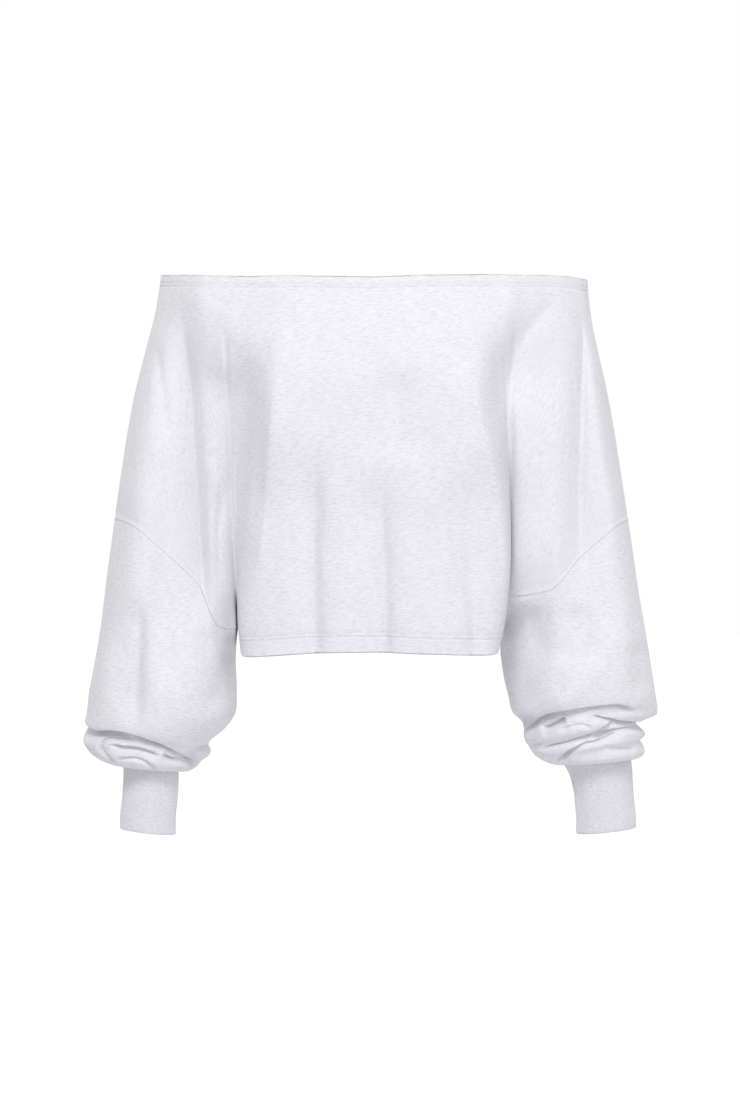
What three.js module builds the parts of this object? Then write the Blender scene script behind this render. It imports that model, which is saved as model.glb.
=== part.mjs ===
// A cropped off-shoulder sweatshirt in heather loopback jersey, in the hollow shape that it has when it
// is worn: a wide straight neckline, extended shoulders, balloon sleeves stacked above long rib cuffs.
// Millimetres. +Z is up and -Y is the front. The origin is the middle of the neckline, at the height
// where it grips the upper arms. Left and right are the wearer's: the left sleeve is on +X.
//
// The garment is one smooth outer surface, drawn by sections at named heights. Each cut piece takes its
// own patch of that surface, is set back a little at its seams and is given the thickness of its cloth.
import * as THREE from "three";

// Driving sizes of the cloth and of its making
const CLOTH = 1.6; // one ply of loopback jersey
const TURNED_EDGE = 2.8; // two plies, where an edge is turned in and stitched
const CUFF_WALL = 2.8; // rib, folded double
const NECK_BAND = 11; // how far the neckline is turned in
const HEM_BAND = 20; // how far the hem is turned in
const LEAST_SIDE = 6; // least side seam left between an armhole and the hem band
const PLY_STEP = 1.2; // height over which the turned ply ends
const SEAM_GAP = 0.34; // between two pieces at a seam
const BUST_HEIGHT = -105; // where the creases beside the body start to close
const SPLIT_BLEND = 40; // height over which arm and body part round out below the underarm
const CUFF_TOP = -500;
const SWING_TOP = -245; // where the sleeves start to swing forward
const SWING_HEIGHT = 100; // height over which they reach their full swing
const KEYS_PER_MM = 100; // points closer than a hundredth of a millimetre are the same point
const LEAST_KNOT = 1e-3; // least step between two points of a curve
const LEAST_SPREAD = 0.5; // keeps a corner's set-back short where its edges meet at a sharp angle

// Folds a list of rows under named columns into a list of objects.
function table(columns, rows) {
  return rows.map((row) =>
    Object.fromEntries(columns.map((name, i) => [name, row[i]])),
  );
}

// Half sections from the outer seam to the middle, a row for each height. For each named line that runs
// down the cloth, X is its distance out from the middle and D its depth forward (or back, on the back).
// The crease is the hollow between arm and body. It closes towards the underarm.
const SECTION_COLUMNS = [
  "z",
  "seamX",
  "seamD",
  "outerX",
  "outerD",
  "armX",
  "armD",
  "foldX",
  "foldD",
  "innerX",
  "innerD",
  "creaseX",
  "creaseD",
  "sideX",
  "sideD",
  "bustX",
  "bustD",
  "quarterX",
  "quarterD",
  "centreX",
  "centreD",
];

const LEFT_FRONT = table(SECTION_COLUMNS, [
  [0, 213, 2, 210, 16, 203, 29, 191, 40, 166, 57, 138, 71, 118, 79, 91, 88, 48, 95, 0, 98],
  [-35, 215, 8, 212, 22, 207, 35, 198, 44, 168, 65, 139, 80, 119, 89, 93, 98, 48, 106, 0, 108],
  [-70, 221, 14, 218, 29, 211, 43, 202, 51, 172, 67, 137, 78, 121, 92, 97, 108, 49, 116, 0, 117],
  [-105, 228, 17, 225, 34, 217, 49, 205, 55, 174, 66, 135, 60, 123, 84, 101, 117, 51, 122, 0, 121],
  [-150, 235, 18, 232, 37, 223, 54, 206, 58, 175, 68, 134, 55, 127, 82, 107, 117, 53, 121, 0, 120],
  [-200, 244, 17, 240, 39, 229, 58, 206, 60, 175, 70, 135, 52, 131, 78, 115, 114, 55, 119, 0, 118],
  [-250, 253, 14, 249, 40, 234, 61, 205, 62, 175, 70, 135, 52, 134, 74, 121, 110, 56, 117, 0, 116],
  [-300, 261, 8, 256, 40, 238, 64, 204, 65, 175, 70, 130, 50, 134, 68, 125, 106, 58, 115, 0, 115],
  [-350, 270, 4, 264, 41, 242, 67, 207, 69, 172, 66, 126, 50, 128, 60, 121, 102, 58, 113, 0, 113],
  [-385, 276, 2, 269, 42, 244, 69, 210, 72, 168, 62, 126, 50, 120, 54, 114, 98, 56, 111, 0, 111],
  [-420, 281, 0, 273, 43, 246, 70, 212, 73, 167, 58, 130, 50, 120, 54, 114, 98, 56, 111, 0, 111],
]);

const RIGHT_FRONT = table(SECTION_COLUMNS, [
  [0, 213, 0, 208, 18, 199, 32, 186, 45, 164, 60, 142, 70, 120, 79, 92, 88, 48, 95, 0, 98],
  [-35, 218, 0, 212, 24, 202, 39, 187, 51, 166, 66, 144, 78, 123, 87, 95, 98, 48, 106, 0, 108],
  [-70, 227, 0, 220, 30, 206, 48, 187, 57, 167, 66, 145, 76, 125, 90, 97, 108, 49, 116, 0, 117],
  [-105, 236, 0, 228, 35, 210, 55, 184, 57, 165, 61, 144, 58, 124, 82, 98, 117, 50, 122, 0, 121],
  [-150, 245, 0, 237, 39, 215, 61, 180, 58, 163, 61, 143, 54, 126, 76, 102, 116, 52, 121, 0, 120],
  [-200, 253, 0, 245, 42, 220, 66, 177, 57, 161, 61, 142, 52, 129, 72, 107, 112, 54, 119, 0, 118],
  [-250, 260, 0, 251, 44, 224, 69, 175, 56, 159, 60, 140, 51, 132, 68, 113, 107, 56, 117, 0, 116],
  [-300, 267, 0, 257, 46, 227, 71, 173, 57, 157, 59, 138, 50, 134, 62, 119, 102, 58, 115, 0, 115],
  [-350, 273, 0, 263, 47, 229, 72, 175, 62, 155, 56, 136, 50, 134, 57, 124, 98, 59, 113, 0, 113],
  [-385, 279, 0, 268, 47, 231, 73, 181, 68, 157, 56, 136, 50, 131, 53, 122, 95, 58, 111, 0, 111],
  [-420, 285, 0, 273, 48, 233, 74, 189, 72, 159, 55, 137, 50, 131, 53, 122, 95, 58, 111, 0, 111],
]);

// The back is cut and hangs alike on both sides. Its seam and crease lie where the front's do.
const BACK = table(SECTION_COLUMNS, [
  [0, 213, 0, 208, 20, 197, 35, 182, 47, 162, 58, 140, 68, 118, 76, 90, 82, 46, 87, 0, 89],
  [-35, 217, 0, 213, 26, 203, 43, 186, 55, 166, 64, 142, 74, 120, 83, 94, 90, 48, 94, 0, 95],
  [-70, 225, 0, 222, 32, 209, 51, 190, 62, 168, 67, 142, 72, 124, 84, 98, 96, 50, 99, 0, 99],
  [-105, 235, 0, 231, 37, 215, 57, 193, 66, 168, 68, 141, 64, 128, 82, 104, 99, 52, 101, 0, 100],
  [-150, 244, 0, 240, 41, 221, 62, 195, 69, 168, 69, 140, 58, 131, 79, 110, 100, 54, 101, 0, 99],
  [-200, 252, 0, 247, 44, 225, 66, 196, 71, 167, 69, 139, 54, 133, 75, 116, 98, 56, 100, 0, 98],
  [-250, 259, 0, 254, 46, 229, 69, 197, 73, 166, 69, 138, 52, 135, 70, 120, 96, 58, 98, 0, 97],
  [-300, 266, 0, 261, 47, 232, 71, 199, 74, 164, 67, 136, 50, 135, 64, 122, 93, 59, 97, 0, 96],
  [-350, 272, 0, 267, 48, 234, 72, 200, 74, 162, 60, 132, 50, 131, 56, 122, 89, 60, 95, 0, 95],
  [-385, 278, 0, 272, 48, 236, 72, 201, 74, 162, 57, 131, 50, 126, 52, 119, 86, 58, 94, 0, 94],
  [-420, 284, 0, 277, 48, 237, 72, 202, 74, 163, 56, 134, 50, 126, 52, 119, 86, 58, 94, 0, 94],
]);

const LAST_DRAWN = -420; // the tables' last row

const LINES = [
  "seam",
  "outer",
  "arm",
  "fold",
  "inner",
  "crease",
  "side",
  "bust",
  "quarter",
  "centre",
];
const CREASE = LINES.indexOf("crease");
const CENTRE = LINES.indexOf("centre");
const RING = 2 * CREASE; // once round a sleeve, counted in lines

// Heights of the edges and seams on each named line
const EDGE_COLUMNS = ["edge", ...LINES];
const EDGES = table(EDGE_COLUMNS, [
  ["leftNeckFront", -4, -4, -4, -3, -3, -4, -4, -5, -6, -8],
  ["rightNeckFront", 1, 0, -1, -2, -4, -5, -6, -6, -7, -8],
  ["leftNeckBack", -4, -3, -2, 0, 1, 2, 3, 4, 4, 4],
  ["rightNeckBack", 1, 1, 1, 2, 2, 3, 3, 4, 4, 4],
  ["leftArmhole", -245, -246, -254, -280, -313, -322, -326, -330, -334, -336],
  ["rightArmhole", -245, -245, -260, -308, -348, -352, -348, -343, -338, -336],
  ["leftHemFront", 0, 0, 0, 0, 0, -366, -371, -377, -376, -374],
  ["rightHemFront", 0, 0, 0, 0, 0, -364, -376, -379, -375, -374],
  ["leftHemBack", 0, 0, 0, 0, 0, -366, -370, -373, -372, -371],
  ["rightHemBack", 0, 0, 0, 0, 0, -364, -371, -375, -373, -371],
]);

// Each side: the way it lies, its sections, where its underarm is, and how far out the body's side
// seam lies SPLIT_BLEND below the underarm.
const SIDES = {
  left: { sign: 1, front: LEFT_FRONT, underarm: -322, underarmX: 128, bodyX: 117 },
  right: { sign: -1, front: RIGHT_FRONT, underarm: -352, underarmX: 136, bodyX: 131 },
};

// The lower sleeve, from the balloon to the cuff: inner and outer edges, half depth, how far the arm
// swings forward, and how far the cloth has sunk below the height at which its row starts.
// Between BLEND_TOP and BLEND_END the section turns from the drawn one to an ellipse.
const BLEND_TOP = -385;
const BLEND_END = -462;
const LOWER_COLUMNS = ["z", "inner", "outer", "depth", "forward", "sunk"];
const LOWER = {
  left: table(LOWER_COLUMNS, [
    [-322, 128, 265, 70, 0, 0],
    [-385, 127, 277, 71, 2, 0],
    [-415, 133, 281, 71, 3, 0],
    [-435, 140, 284, 69, 4, 0],
    [-450, 148, 280, 65, 5, 0],
    [-462, 150, 273, 61, 6, 0],
    [-472, 153, 272, 58, 7, -1],
    [-482, 168, 269, 50, 8, -1],
    [-490, 179, 262, 42, 8, -5],
    [-496, 184, 258, 36, 8, -11],
    [-500, 189, 256, 33, 8, -16],
  ]),
  right: table(LOWER_COLUMNS, [
    [-322, 136, 270, 70, 0, 0],
    [-385, 138, 281, 71, 2, 0],
    [-415, 137, 285, 71, 3, 0],
    [-435, 139, 287, 69, 4, 0],
    [-450, 150, 290, 66, 5, 0],
    [-462, 161, 292, 62, 6, 0],
    [-472, 161, 289, 58, 7, -1],
    [-482, 167, 279, 52, 8, 1],
    [-490, 178, 265, 42, 8, 0],
    [-496, 188, 254, 33, 8, -4],
    [-500, 195, 250, 28, 8, -11],
  ]),
};
const STACK_TILT = 3; // how much higher the stack and the cuff's edge lie on the outside

// Angle round the sleeve's ellipse of each named line, from the outer edge over the front to the inner
const ELLIPSE_DEGREES = [0, 34, 68, 98, 134, 180];

// The stack of folds above the cuff. Each is a groove that runs part of the way round, from line to
// line (0 outer seam, 5 inner edge, 10 outer seam again) and from height to height, and is pressed
// inward by its depth and upward by its lift, so the roll above it hangs over it.
const GROOVE_COLUMNS = ["from", "to", "zFrom", "zTo", "depth", "lift", "width"];
const GROOVES = {
  left: table(GROOVE_COLUMNS, [
    [0.6, 5.6, -434, -446, 13, 11, 4.2],
    [-2.2, 2.6, -457, -446, 16, 9, 4.2],
    [1.4, 5.0, -452, -471, 12, 9, 4.0],
    [5.2, 10.2, -447, -456, 13, 9, 4.4],
    [-1.6, 4.4, -464, -481, 10, 7, 3.8],
    [4.6, 8.8, -470, -465, 12, 8, 4.2],
  ]),
  right: table(GROOVE_COLUMNS, [
    [-0.8, 5.2, -455, -476, 15, 12, 4.2],
    [0.2, 2.4, -464, -463, 9, 7, 3.4],
    [0.7, 5.6, -472, -486, 11, 8, 3.8],
    [4.6, 9.0, -462, -458, 14, 9, 4.4],
    [5.0, 9.6, -478, -474, 12, 7, 4.2],
  ]),
};
const GROOVE_FADE = 0.24; // share of a groove's length over which each end dies out

// The rib cuffs, down from the sleeve's gathered end: distance out of the middle, and radius
const CUFF_COLUMNS = ["z", "middle", "radius"];
const CUFFS = {
  left: table(CUFF_COLUMNS, [
    [-494, 226, 31.5],
    [-506, 228, 30],
    [-535, 231, 29.5],
    [-554, 233, 29.5],
  ]),
  right: table(CUFF_COLUMNS, [
    [-503, 222.5, 27.5],
    [-520, 223.5, 27.5],
    [-538, 225.5, 27.5],
    [-555, 227.5, 27],
  ]),
};

// Soft folds that hang in the cloth, seen from the front or the back: a trough from one point to
// another, its half width and its depth. A negative depth is a ridge.
const FOLD_COLUMNS = ["panel", "x0", "z0", "x1", "z1", "width", "depth"];
const FOLDS = table(FOLD_COLUMNS, [
  ["front", -56, -165, -59, -400, 13, 6],
  ["front", 10, -190, 12, -400, 15, 5.5],
  ["front", 85, -225, 96, -400, 11, 5],
  ["front", 20, -110, 32, -185, 26, 3],
  ["front", -30, -170, -24, -400, 17, -3],
  ["front", 50, -170, 54, -400, 18, -3],
  ["front", -96, -210, -101, -400, 12, -2],
  ["front", -205, -15, -95, -80, 14, 4],
  ["front", 203, -20, 112, -78, 16, 4],
  ["front", -210, -230, -214, -350, 8, 3],
  ["front", -203, -340, -201, -425, 9, 3],
  ["front", -247, -360, -243, -440, 12, 5],
  ["front", 168, -330, 190, -420, 14, 4],
  ["back", -70, -60, -66, -400, 18, 6],
  ["back", 4, -120, 0, -400, 20, 5],
  ["back", 72, -70, 74, -400, 17, 6],
  ["back", -205, -150, -214, -420, 12, 4],
  ["back", 205, -120, 216, -420, 12, 4],
]);

const FOLD_RISE = 25; // depth of the section at which the hanging folds reach their full depth

const COLOURS = { jersey: 0xe9e8ee, rib: 0xe1dee6 };

function lerp(a, b, t) {
  return a + (b - a) * t;
}

function smoothstep(t) {
  const c = Math.min(1, Math.max(0, t));
  return c * c * (3 - 2 * c);
}

// Rises fast from 0 and levels out at 1: the round of a fold that closes.
function roundRoot(t) {
  return Math.sqrt(Math.sin((Math.PI / 2) * Math.min(1, Math.max(0, t))));
}

// A smooth curve through one column of a table, at a height between its rows.
function at(rows, column, z) {
  const last = rows.length - 1;
  let i = rows.findIndex((row, k) => k === last || rows[k + 1].z <= z);
  i = Math.min(i, last - 1);
  const slope = (k) =>
    (rows[k + 1][column] - rows[k][column]) / (rows[k + 1].z - rows[k].z);
  const tangent = (k) => {
    if (k === 0) return slope(0);
    if (k === last) return slope(last - 1);
    const above = rows[k].z - rows[k - 1].z;
    const below = rows[k + 1].z - rows[k].z;
    return (slope(k - 1) * below + slope(k) * above) / (above + below);
  };
  const span = rows[i + 1].z - rows[i].z;
  const t = (z - rows[i].z) / span;
  if (t < 0 || t > 1) {
    const end = t < 0 ? i : i + 1;
    return rows[end][column] + tangent(end) * (z - rows[end].z);
  }
  return hermite(
    rows[i][column],
    rows[i + 1][column],
    tangent(i) * span,
    tangent(i + 1) * span,
    t,
  );
}

function hermite(a, b, ma, mb, t) {
  const t2 = t * t;
  const t3 = t2 * t;
  return (
    (2 * t3 - 3 * t2 + 1) * a +
    (t3 - 2 * t2 + t) * ma +
    (3 * t2 - 2 * t3) * b +
    (t3 - t2) * mb
  );
}

// A smooth value between the values that a list gives at 0, 1, 2 and so on.
function between(list, s) {
  const last = list.length - 1;
  const i = Math.min(last - 1, Math.max(0, Math.floor(s)));
  const tangent = (k) =>
    (list[Math.min(last, k + 1)] - list[Math.max(0, k - 1)]) / 2;
  return hermite(list[i], list[i + 1], tangent(i), tangent(i + 1), s - i);
}

function edgeHeight(name, s) {
  const row = EDGES.find((e) => e.edge === name);
  const first = name.includes("Hem") ? CREASE : 0;
  return between(
    LINES.slice(first).map((line) => row[line]),
    s - first,
  );
}

const OTHER_PANEL = { front: "back", back: "front" };
const OTHER_SIDE = { left: "right", right: "left" };

// One named line at one height, in plan. Part says which of two edges the crease is, below the underarm.
function linePoint(side, panel, line, z, part) {
  const { sign, front, underarm, underarmX, bodyX } = SIDES[side];
  const rows = panel === "front" ? front : BACK;
  const facing = panel === "front" ? -1 : 1;
  if (line === 0)
    return [sign * at(front, "seamX", z), -at(front, "seamD", z)];
  if (line !== CREASE)
    return [
      sign * at(rows, `${LINES[line]}X`, z),
      facing * at(rows, `${LINES[line]}D`, z),
    ];
  if (z >= underarm) {
    const share = roundRoot((z - underarm) / (BUST_HEIGHT - underarm));
    const x = lerp(underarmX, at(front, "creaseX", z), share);
    return [sign * x, facing * share * at(rows, "creaseD", z)];
  }
  const share = roundRoot((underarm - z) / SPLIT_BLEND);
  const away = part === "arm" ? at(LOWER[side], "inner", z) : bodyX;
  return [sign * lerp(underarmX, away, share), 0];
}

// The point of the drawn surface at position s along a half section, at height z.
function surfacePoint(side, panel, s, z, part) {
  const k = Math.min(CENTRE - 1, Math.max(0, Math.floor(s)));
  const split = z < SIDES[side].underarm;
  const neighbour = (i) => {
    if (i < 0) return linePoint(side, OTHER_PANEL[panel], -i, z, part);
    if (i > CENTRE)
      return linePoint(OTHER_SIDE[side], panel, 2 * CENTRE - i, z, part);
    const crossed =
      split && (part === "arm" ? i > CREASE : i < CREASE);
    return crossed
      ? linePoint(side, OTHER_PANEL[panel], 2 * CREASE - i, z, part)
      : linePoint(side, panel, i, z, part);
  };
  const [p0, p1, p2, p3] = [k - 1, k, k + 1, k + 2].map(neighbour);
  // At the underarm the two sheets meet at a point, so the crease has no width there.
  const rounding = smoothstep(
    Math.abs(z - SIDES[side].underarm) / SPLIT_BLEND,
  );
  const scale = (i) => (i === CREASE ? rounding : 1);
  return curvePoint(p0, p1, p2, p3, s - k, scale(k), scale(k + 1));
}

// A curve from p1 to p2 that keeps its shape however unevenly the points are spaced.
function curvePoint(p0, p1, p2, p3, t, scaleStart, scaleEnd) {
  const knot = (a, b) =>
    Math.max(LEAST_KNOT, Math.sqrt(Math.hypot(b[0] - a[0], b[1] - a[1])));
  const [a, b, c] = [knot(p0, p1), knot(p1, p2), knot(p2, p3)];
  return [0, 1].map((i) => {
    const chord = p2[i] - p1[i];
    const start =
      chord + b * ((p1[i] - p0[i]) / a - (p2[i] - p0[i]) / (a + b));
    const end = chord + b * ((p3[i] - p2[i]) / c - (p3[i] - p1[i]) / (b + c));
    return hermite(p1[i], p2[i], start * scaleStart, end * scaleEnd, t);
  });
}

// How deep the hanging folds press the cloth in, at a point seen from the front or the back.
function foldDepth(panel, x, z) {
  let depth = 0;
  for (const fold of FOLDS) {
    if (fold.panel !== panel) continue;
    const dx = fold.x1 - fold.x0;
    const dz = fold.z1 - fold.z0;
    const length = Math.hypot(dx, dz);
    const t = ((x - fold.x0) * dx + (z - fold.z0) * dz) / (length * length);
    if (t <= 0 || t >= 1) continue;
    const off = ((x - fold.x0) * dz - (z - fold.z0) * dx) / length;
    const open = Math.sqrt(Math.sin(Math.PI * t));
    depth += fold.depth * open * Math.exp(-((off / fold.width) ** 2));
  }
  return depth;
}

// Folds die out towards the outer seam and wherever the cloth turns to the side.
function withFolds(panel, s, x, y, z) {
  const facing = panel === "front" ? -1 : 1;
  const share = smoothstep(s) * smoothstep(Math.abs(y) / FOLD_RISE);
  return new THREE.Vector3(x, y - facing * share * foldDepth(panel, x, z), z);
}

// The point of a sleeve at ring position c (0 outer seam, over the front to 5, and on to 10) and height z.
function sleevePoint(side, c, z) {
  const { sign } = SIDES[side];
  const panel = c <= CREASE ? "front" : "back";
  const s = c <= CREASE ? c : RING - c;
  const [px, py] = surfacePoint(side, panel, s, Math.max(z, LAST_DRAWN), "arm");
  const inner = at(LOWER[side], "inner", z);
  const outer = at(LOWER[side], "outer", z);
  const forward = at(LOWER[side], "forward", z);
  const angle = THREE.MathUtils.degToRad(between(ELLIPSE_DEGREES, s));
  const facing = panel === "front" ? -1 : 1;
  const middle = (inner + outer) / 2;
  const ex = sign * (middle + ((outer - inner) / 2) * Math.cos(angle));
  const ey =
    facing * at(LOWER[side], "depth", z) * Math.sin(angle) - forward;
  const turned = smoothstep((BLEND_TOP - z) / (BLEND_TOP - BLEND_END));
  const swing = forward * smoothstep((SWING_TOP - z) / SWING_HEIGHT);
  const x = lerp(px, ex, turned);
  const y = lerp(py - swing, ey, turned);
  const point = withFolds(panel, s, x, y, z);
  pressGrooves(side, c, point, new THREE.Vector2(sign * middle, -forward));
  point.z -= at(LOWER[side], "sunk", z);
  point.z += STACK_TILT * Math.cos(angle) * turned;
  return point;
}

function pressGrooves(side, c, point, axis) {
  const z = point.z;
  const inward = new THREE.Vector2(
    axis.x - point.x,
    axis.y - point.y,
  ).normalize();
  for (const groove of GROOVES[side]) {
    const length = groove.to - groove.from;
    for (const turn of [-RING, 0, RING]) {
      const t = (c + turn - groove.from) / length;
      if (t <= 0 || t >= 1) continue;
      const open =
        smoothstep(t / GROOVE_FADE) * smoothstep((1 - t) / GROOVE_FADE);
      const off = (z - lerp(groove.zFrom, groove.zTo, t)) / groove.width;
      const press = open * Math.exp(-off * off / 2);
      point.x += inward.x * groove.depth * press;
      point.y += inward.y * groove.depth * press;
      point.z += groove.lift * press;
    }
  }
}

// Positions along a half section: so many steps between each two named lines.
function steps(counts, first) {
  const list = [first];
  counts.forEach((count, k) => {
    for (let n = 1; n <= count; n++) list.push(first + k + n / count);
  });
  return list;
}

const ARM_STEPS = steps([2, 3, 3, 3, 3], 0);
const FRONT_STEPS = [...ARM_STEPS, ...steps([3, 3, 3, 3], CREASE).slice(1)];
const BACK_STEPS = [...ARM_STEPS, ...steps([2, 2, 2, 2], CREASE).slice(1)];
const PANEL_ROWS = 12; // between the neck band and the armhole
const BODY_ROWS = 2; // between the armhole and the hem band
const SLEEVE_ROWS = 7; // between the armhole and the stack of folds
const STACK_TOP = -428;
const STACK_ROWS = 24;

// Front or back: columns run from the wearer's right seam to the left one on the front, and on round
// the back. Rows run from the neckline down, and those below the armholes belong to the body alone.
function panelPatch(panel) {
  const half = panel === "front" ? FRONT_STEPS : BACK_STEPS;
  const columns = [
    ...half.map((s) => ({ side: "right", s })),
    ...half
      .slice(0, -1)
      .reverse()
      .map((s) => ({ side: "left", s })),
  ];
  if (panel === "back") columns.reverse();
  const title = panel === "front" ? "Front" : "Back";
  const lowRows = BODY_ROWS + 2;
  const highRows = PANEL_ROWS + 2;
  const height = (column, i) => {
    const { side, s } = column;
    const neck = edgeHeight(`${side}Neck${title}`, s);
    const armhole = edgeHeight(`${side}Armhole`, s);
    if (i === 0) return neck;
    if (i === 1) return neck - NECK_BAND;
    const top = neck - NECK_BAND - PLY_STEP;
    if (i <= highRows) return lerp(top, armhole, (i - 2) / PANEL_ROWS);
    const hem = edgeHeight(`${side}Hem${title}`, s);
    const bandTop = Math.min(hem + HEM_BAND, armhole - LEAST_SIDE);
    if (i === highRows + lowRows) return hem;
    if (i === highRows + lowRows - 1) return bandTop;
    const low = lerp(armhole, bandTop + PLY_STEP, (i - highRows) / BODY_ROWS);
    return low;
  };
  const grid = [];
  for (let i = 0; i <= highRows + lowRows; i++)
    grid.push(
      columns.map((column) => {
        if (i > highRows && column.s < CREASE) return null;
        const z = height(column, i);
        const part = column.s < CREASE ? "arm" : "body";
        const [x, y] = surfacePoint(column.side, panel, column.s, z, part);
        return withFolds(panel, column.s, x, y, z);
      }),
    );
  const turnedRows = new Set([0, 1, highRows + lowRows - 1, highRows + lowRows]);
  return {
    name: panel,
    grid,
    closed: false,
    wall: (i) => (turnedRows.has(i) ? TURNED_EDGE : CLOTH),
    colour: COLOURS.jersey,
  };
}

// Ring positions of a sleeve, in the order that keeps its outside out on either arm.
function ringSteps(side) {
  const ring = [
    ...ARM_STEPS,
    ...ARM_STEPS.slice(1, -1)
      .reverse()
      .map((s) => RING - s),
  ];
  return side === "right" ? ring : [ring[0], ...ring.slice(1).reverse()];
}

function sleevePatch(side) {
  const ring = ringSteps(side);
  const grid = [];
  for (let i = 0; i <= SLEEVE_ROWS + STACK_ROWS; i++)
    grid.push(
      ring.map((c) => {
        const s = c <= CREASE ? c : RING - c;
        const armhole = edgeHeight(`${side}Armhole`, s);
        const z =
          i <= SLEEVE_ROWS
            ? lerp(armhole, STACK_TOP, i / SLEEVE_ROWS)
            : lerp(STACK_TOP, CUFF_TOP, (i - SLEEVE_ROWS) / STACK_ROWS);
        if (i > 0) return sleevePoint(side, c, z);
        const panel = c <= CREASE ? "front" : "back";
        const [x, y] = surfacePoint(side, panel, s, z, "arm");
        return withFolds(panel, s, x, y, z);
      }),
    );
  return {
    name: `${side}_sleeve`,
    grid,
    closed: true,
    wall: () => CLOTH,
    colour: COLOURS.jersey,
  };
}

// The rib cuff: a tube that carries on from the sleeve's last ring, in line with the forearm.
function cuffPatch(side) {
  const ring = ringSteps(side);
  const { sign } = SIDES[side];
  const forward = at(LOWER[side], "forward", CUFF_TOP);
  const lower = CUFFS[side].map(({ z, middle, radius }) =>
    ring.map((c) => {
      const s = c <= CREASE ? c : RING - c;
      const angle = THREE.MathUtils.degToRad(between(ELLIPSE_DEGREES, s));
      const facing = c <= CREASE ? -1 : 1;
      return new THREE.Vector3(
        sign * (middle + radius * Math.cos(angle)),
        facing * radius * Math.sin(angle) - forward,
        z + STACK_TILT * Math.cos(angle),
      );
    }),
  );
  return {
    name: `${side}_cuff`,
    grid: [ring.map((c) => sleevePoint(side, c, CUFF_TOP)), ...lower],
    closed: true,
    wall: () => CUFF_WALL,
    colour: COLOURS.rib,
  };
}

// The cells of a patch, each with its four corners in an order that faces outwards.
function cellsOf(patch) {
  const { grid, closed } = patch;
  const columns = grid[0].length;
  const cells = [];
  for (let i = 0; i + 1 < grid.length; i++)
    for (let j = 0; j < (closed ? columns : columns - 1); j++) {
      const k = (j + 1) % columns;
      const corners = [
        [i, j],
        [i + 1, j],
        [i + 1, k],
        [i, k],
      ];
      if (corners.every(([r, c]) => grid[r][c])) cells.push(corners);
    }
  return cells;
}

function keyOf(point) {
  return point
    .toArray()
    .map((value) => Math.round(value * KEYS_PER_MM))
    .join(",");
}

// Which way the cloth faces at each point, shared by the pieces that meet there. It faces straight
// down at each underarm.
function sharedNormals(patches) {
  const normals = new Map();
  for (const patch of patches)
    for (const corners of cellsOf(patch)) {
      const [a, b, c, d] = corners.map(([i, j]) => patch.grid[i][j]);
      const facing = new THREE.Vector3()
        .subVectors(c, a)
        .cross(new THREE.Vector3().subVectors(d, b))
        .normalize();
      for (const point of [a, b, c, d]) {
        const key = keyOf(point);
        if (!normals.has(key)) normals.set(key, new THREE.Vector3());
        normals.get(key).add(facing);
      }
    }
  for (const normal of normals.values()) normal.normalize();
  for (const { sign, underarmX, underarm } of Object.values(SIDES)) {
    const point = new THREE.Vector3(sign * underarmX, 0, underarm);
    normals.set(keyOf(point), new THREE.Vector3(0, 0, -1));
  }
  return normals;
}

// The edges of a patch that no second cell shares, each as [from, to, way into the cloth].
function openEdges(patch, cells) {
  const id = ([i, j]) => `${i},${j}`;
  const used = new Map();
  for (const corners of cells)
    corners.forEach((from, n) => {
      const to = corners[(n + 1) % 4];
      used.set(`${id(from)}>${id(to)}`, { from, to, corners });
    });
  const edges = [];
  for (const { from, to, corners } of used.values()) {
    if (used.has(`${id(to)}>${id(from)}`)) continue;
    const [a, b] = [from, to].map(([i, j]) => patch.grid[i][j]);
    const middle = new THREE.Vector3();
    corners.forEach(([i, j]) => middle.addScaledVector(patch.grid[i][j], 0.25));
    const along = new THREE.Vector3().subVectors(b, a).normalize();
    const into = middle.sub(a);
    into.addScaledVector(along, -into.dot(along)).normalize();
    edges.push({ from, to, into });
  }
  return edges;
}

// Moves each point of the open edges into its own cloth, so that two pieces keep SEAM_GAP at a seam.
function setBack(edges) {
  const ways = new Map();
  for (const { from, to, into } of edges)
    for (const corner of [from, to]) {
      const id = corner.join(",");
      ways.set(id, [...(ways.get(id) ?? []), into]);
    }
  const moves = new Map();
  for (const [id, list] of ways) {
    const sum = list.reduce((a, b) => a.add(b), new THREE.Vector3());
    const spread = Math.max(LEAST_SPREAD, sum.lengthSq() / list.length);
    moves.set(id, sum.multiplyScalar(SEAM_GAP / 2 / spread));
  }
  return moves;
}

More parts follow.
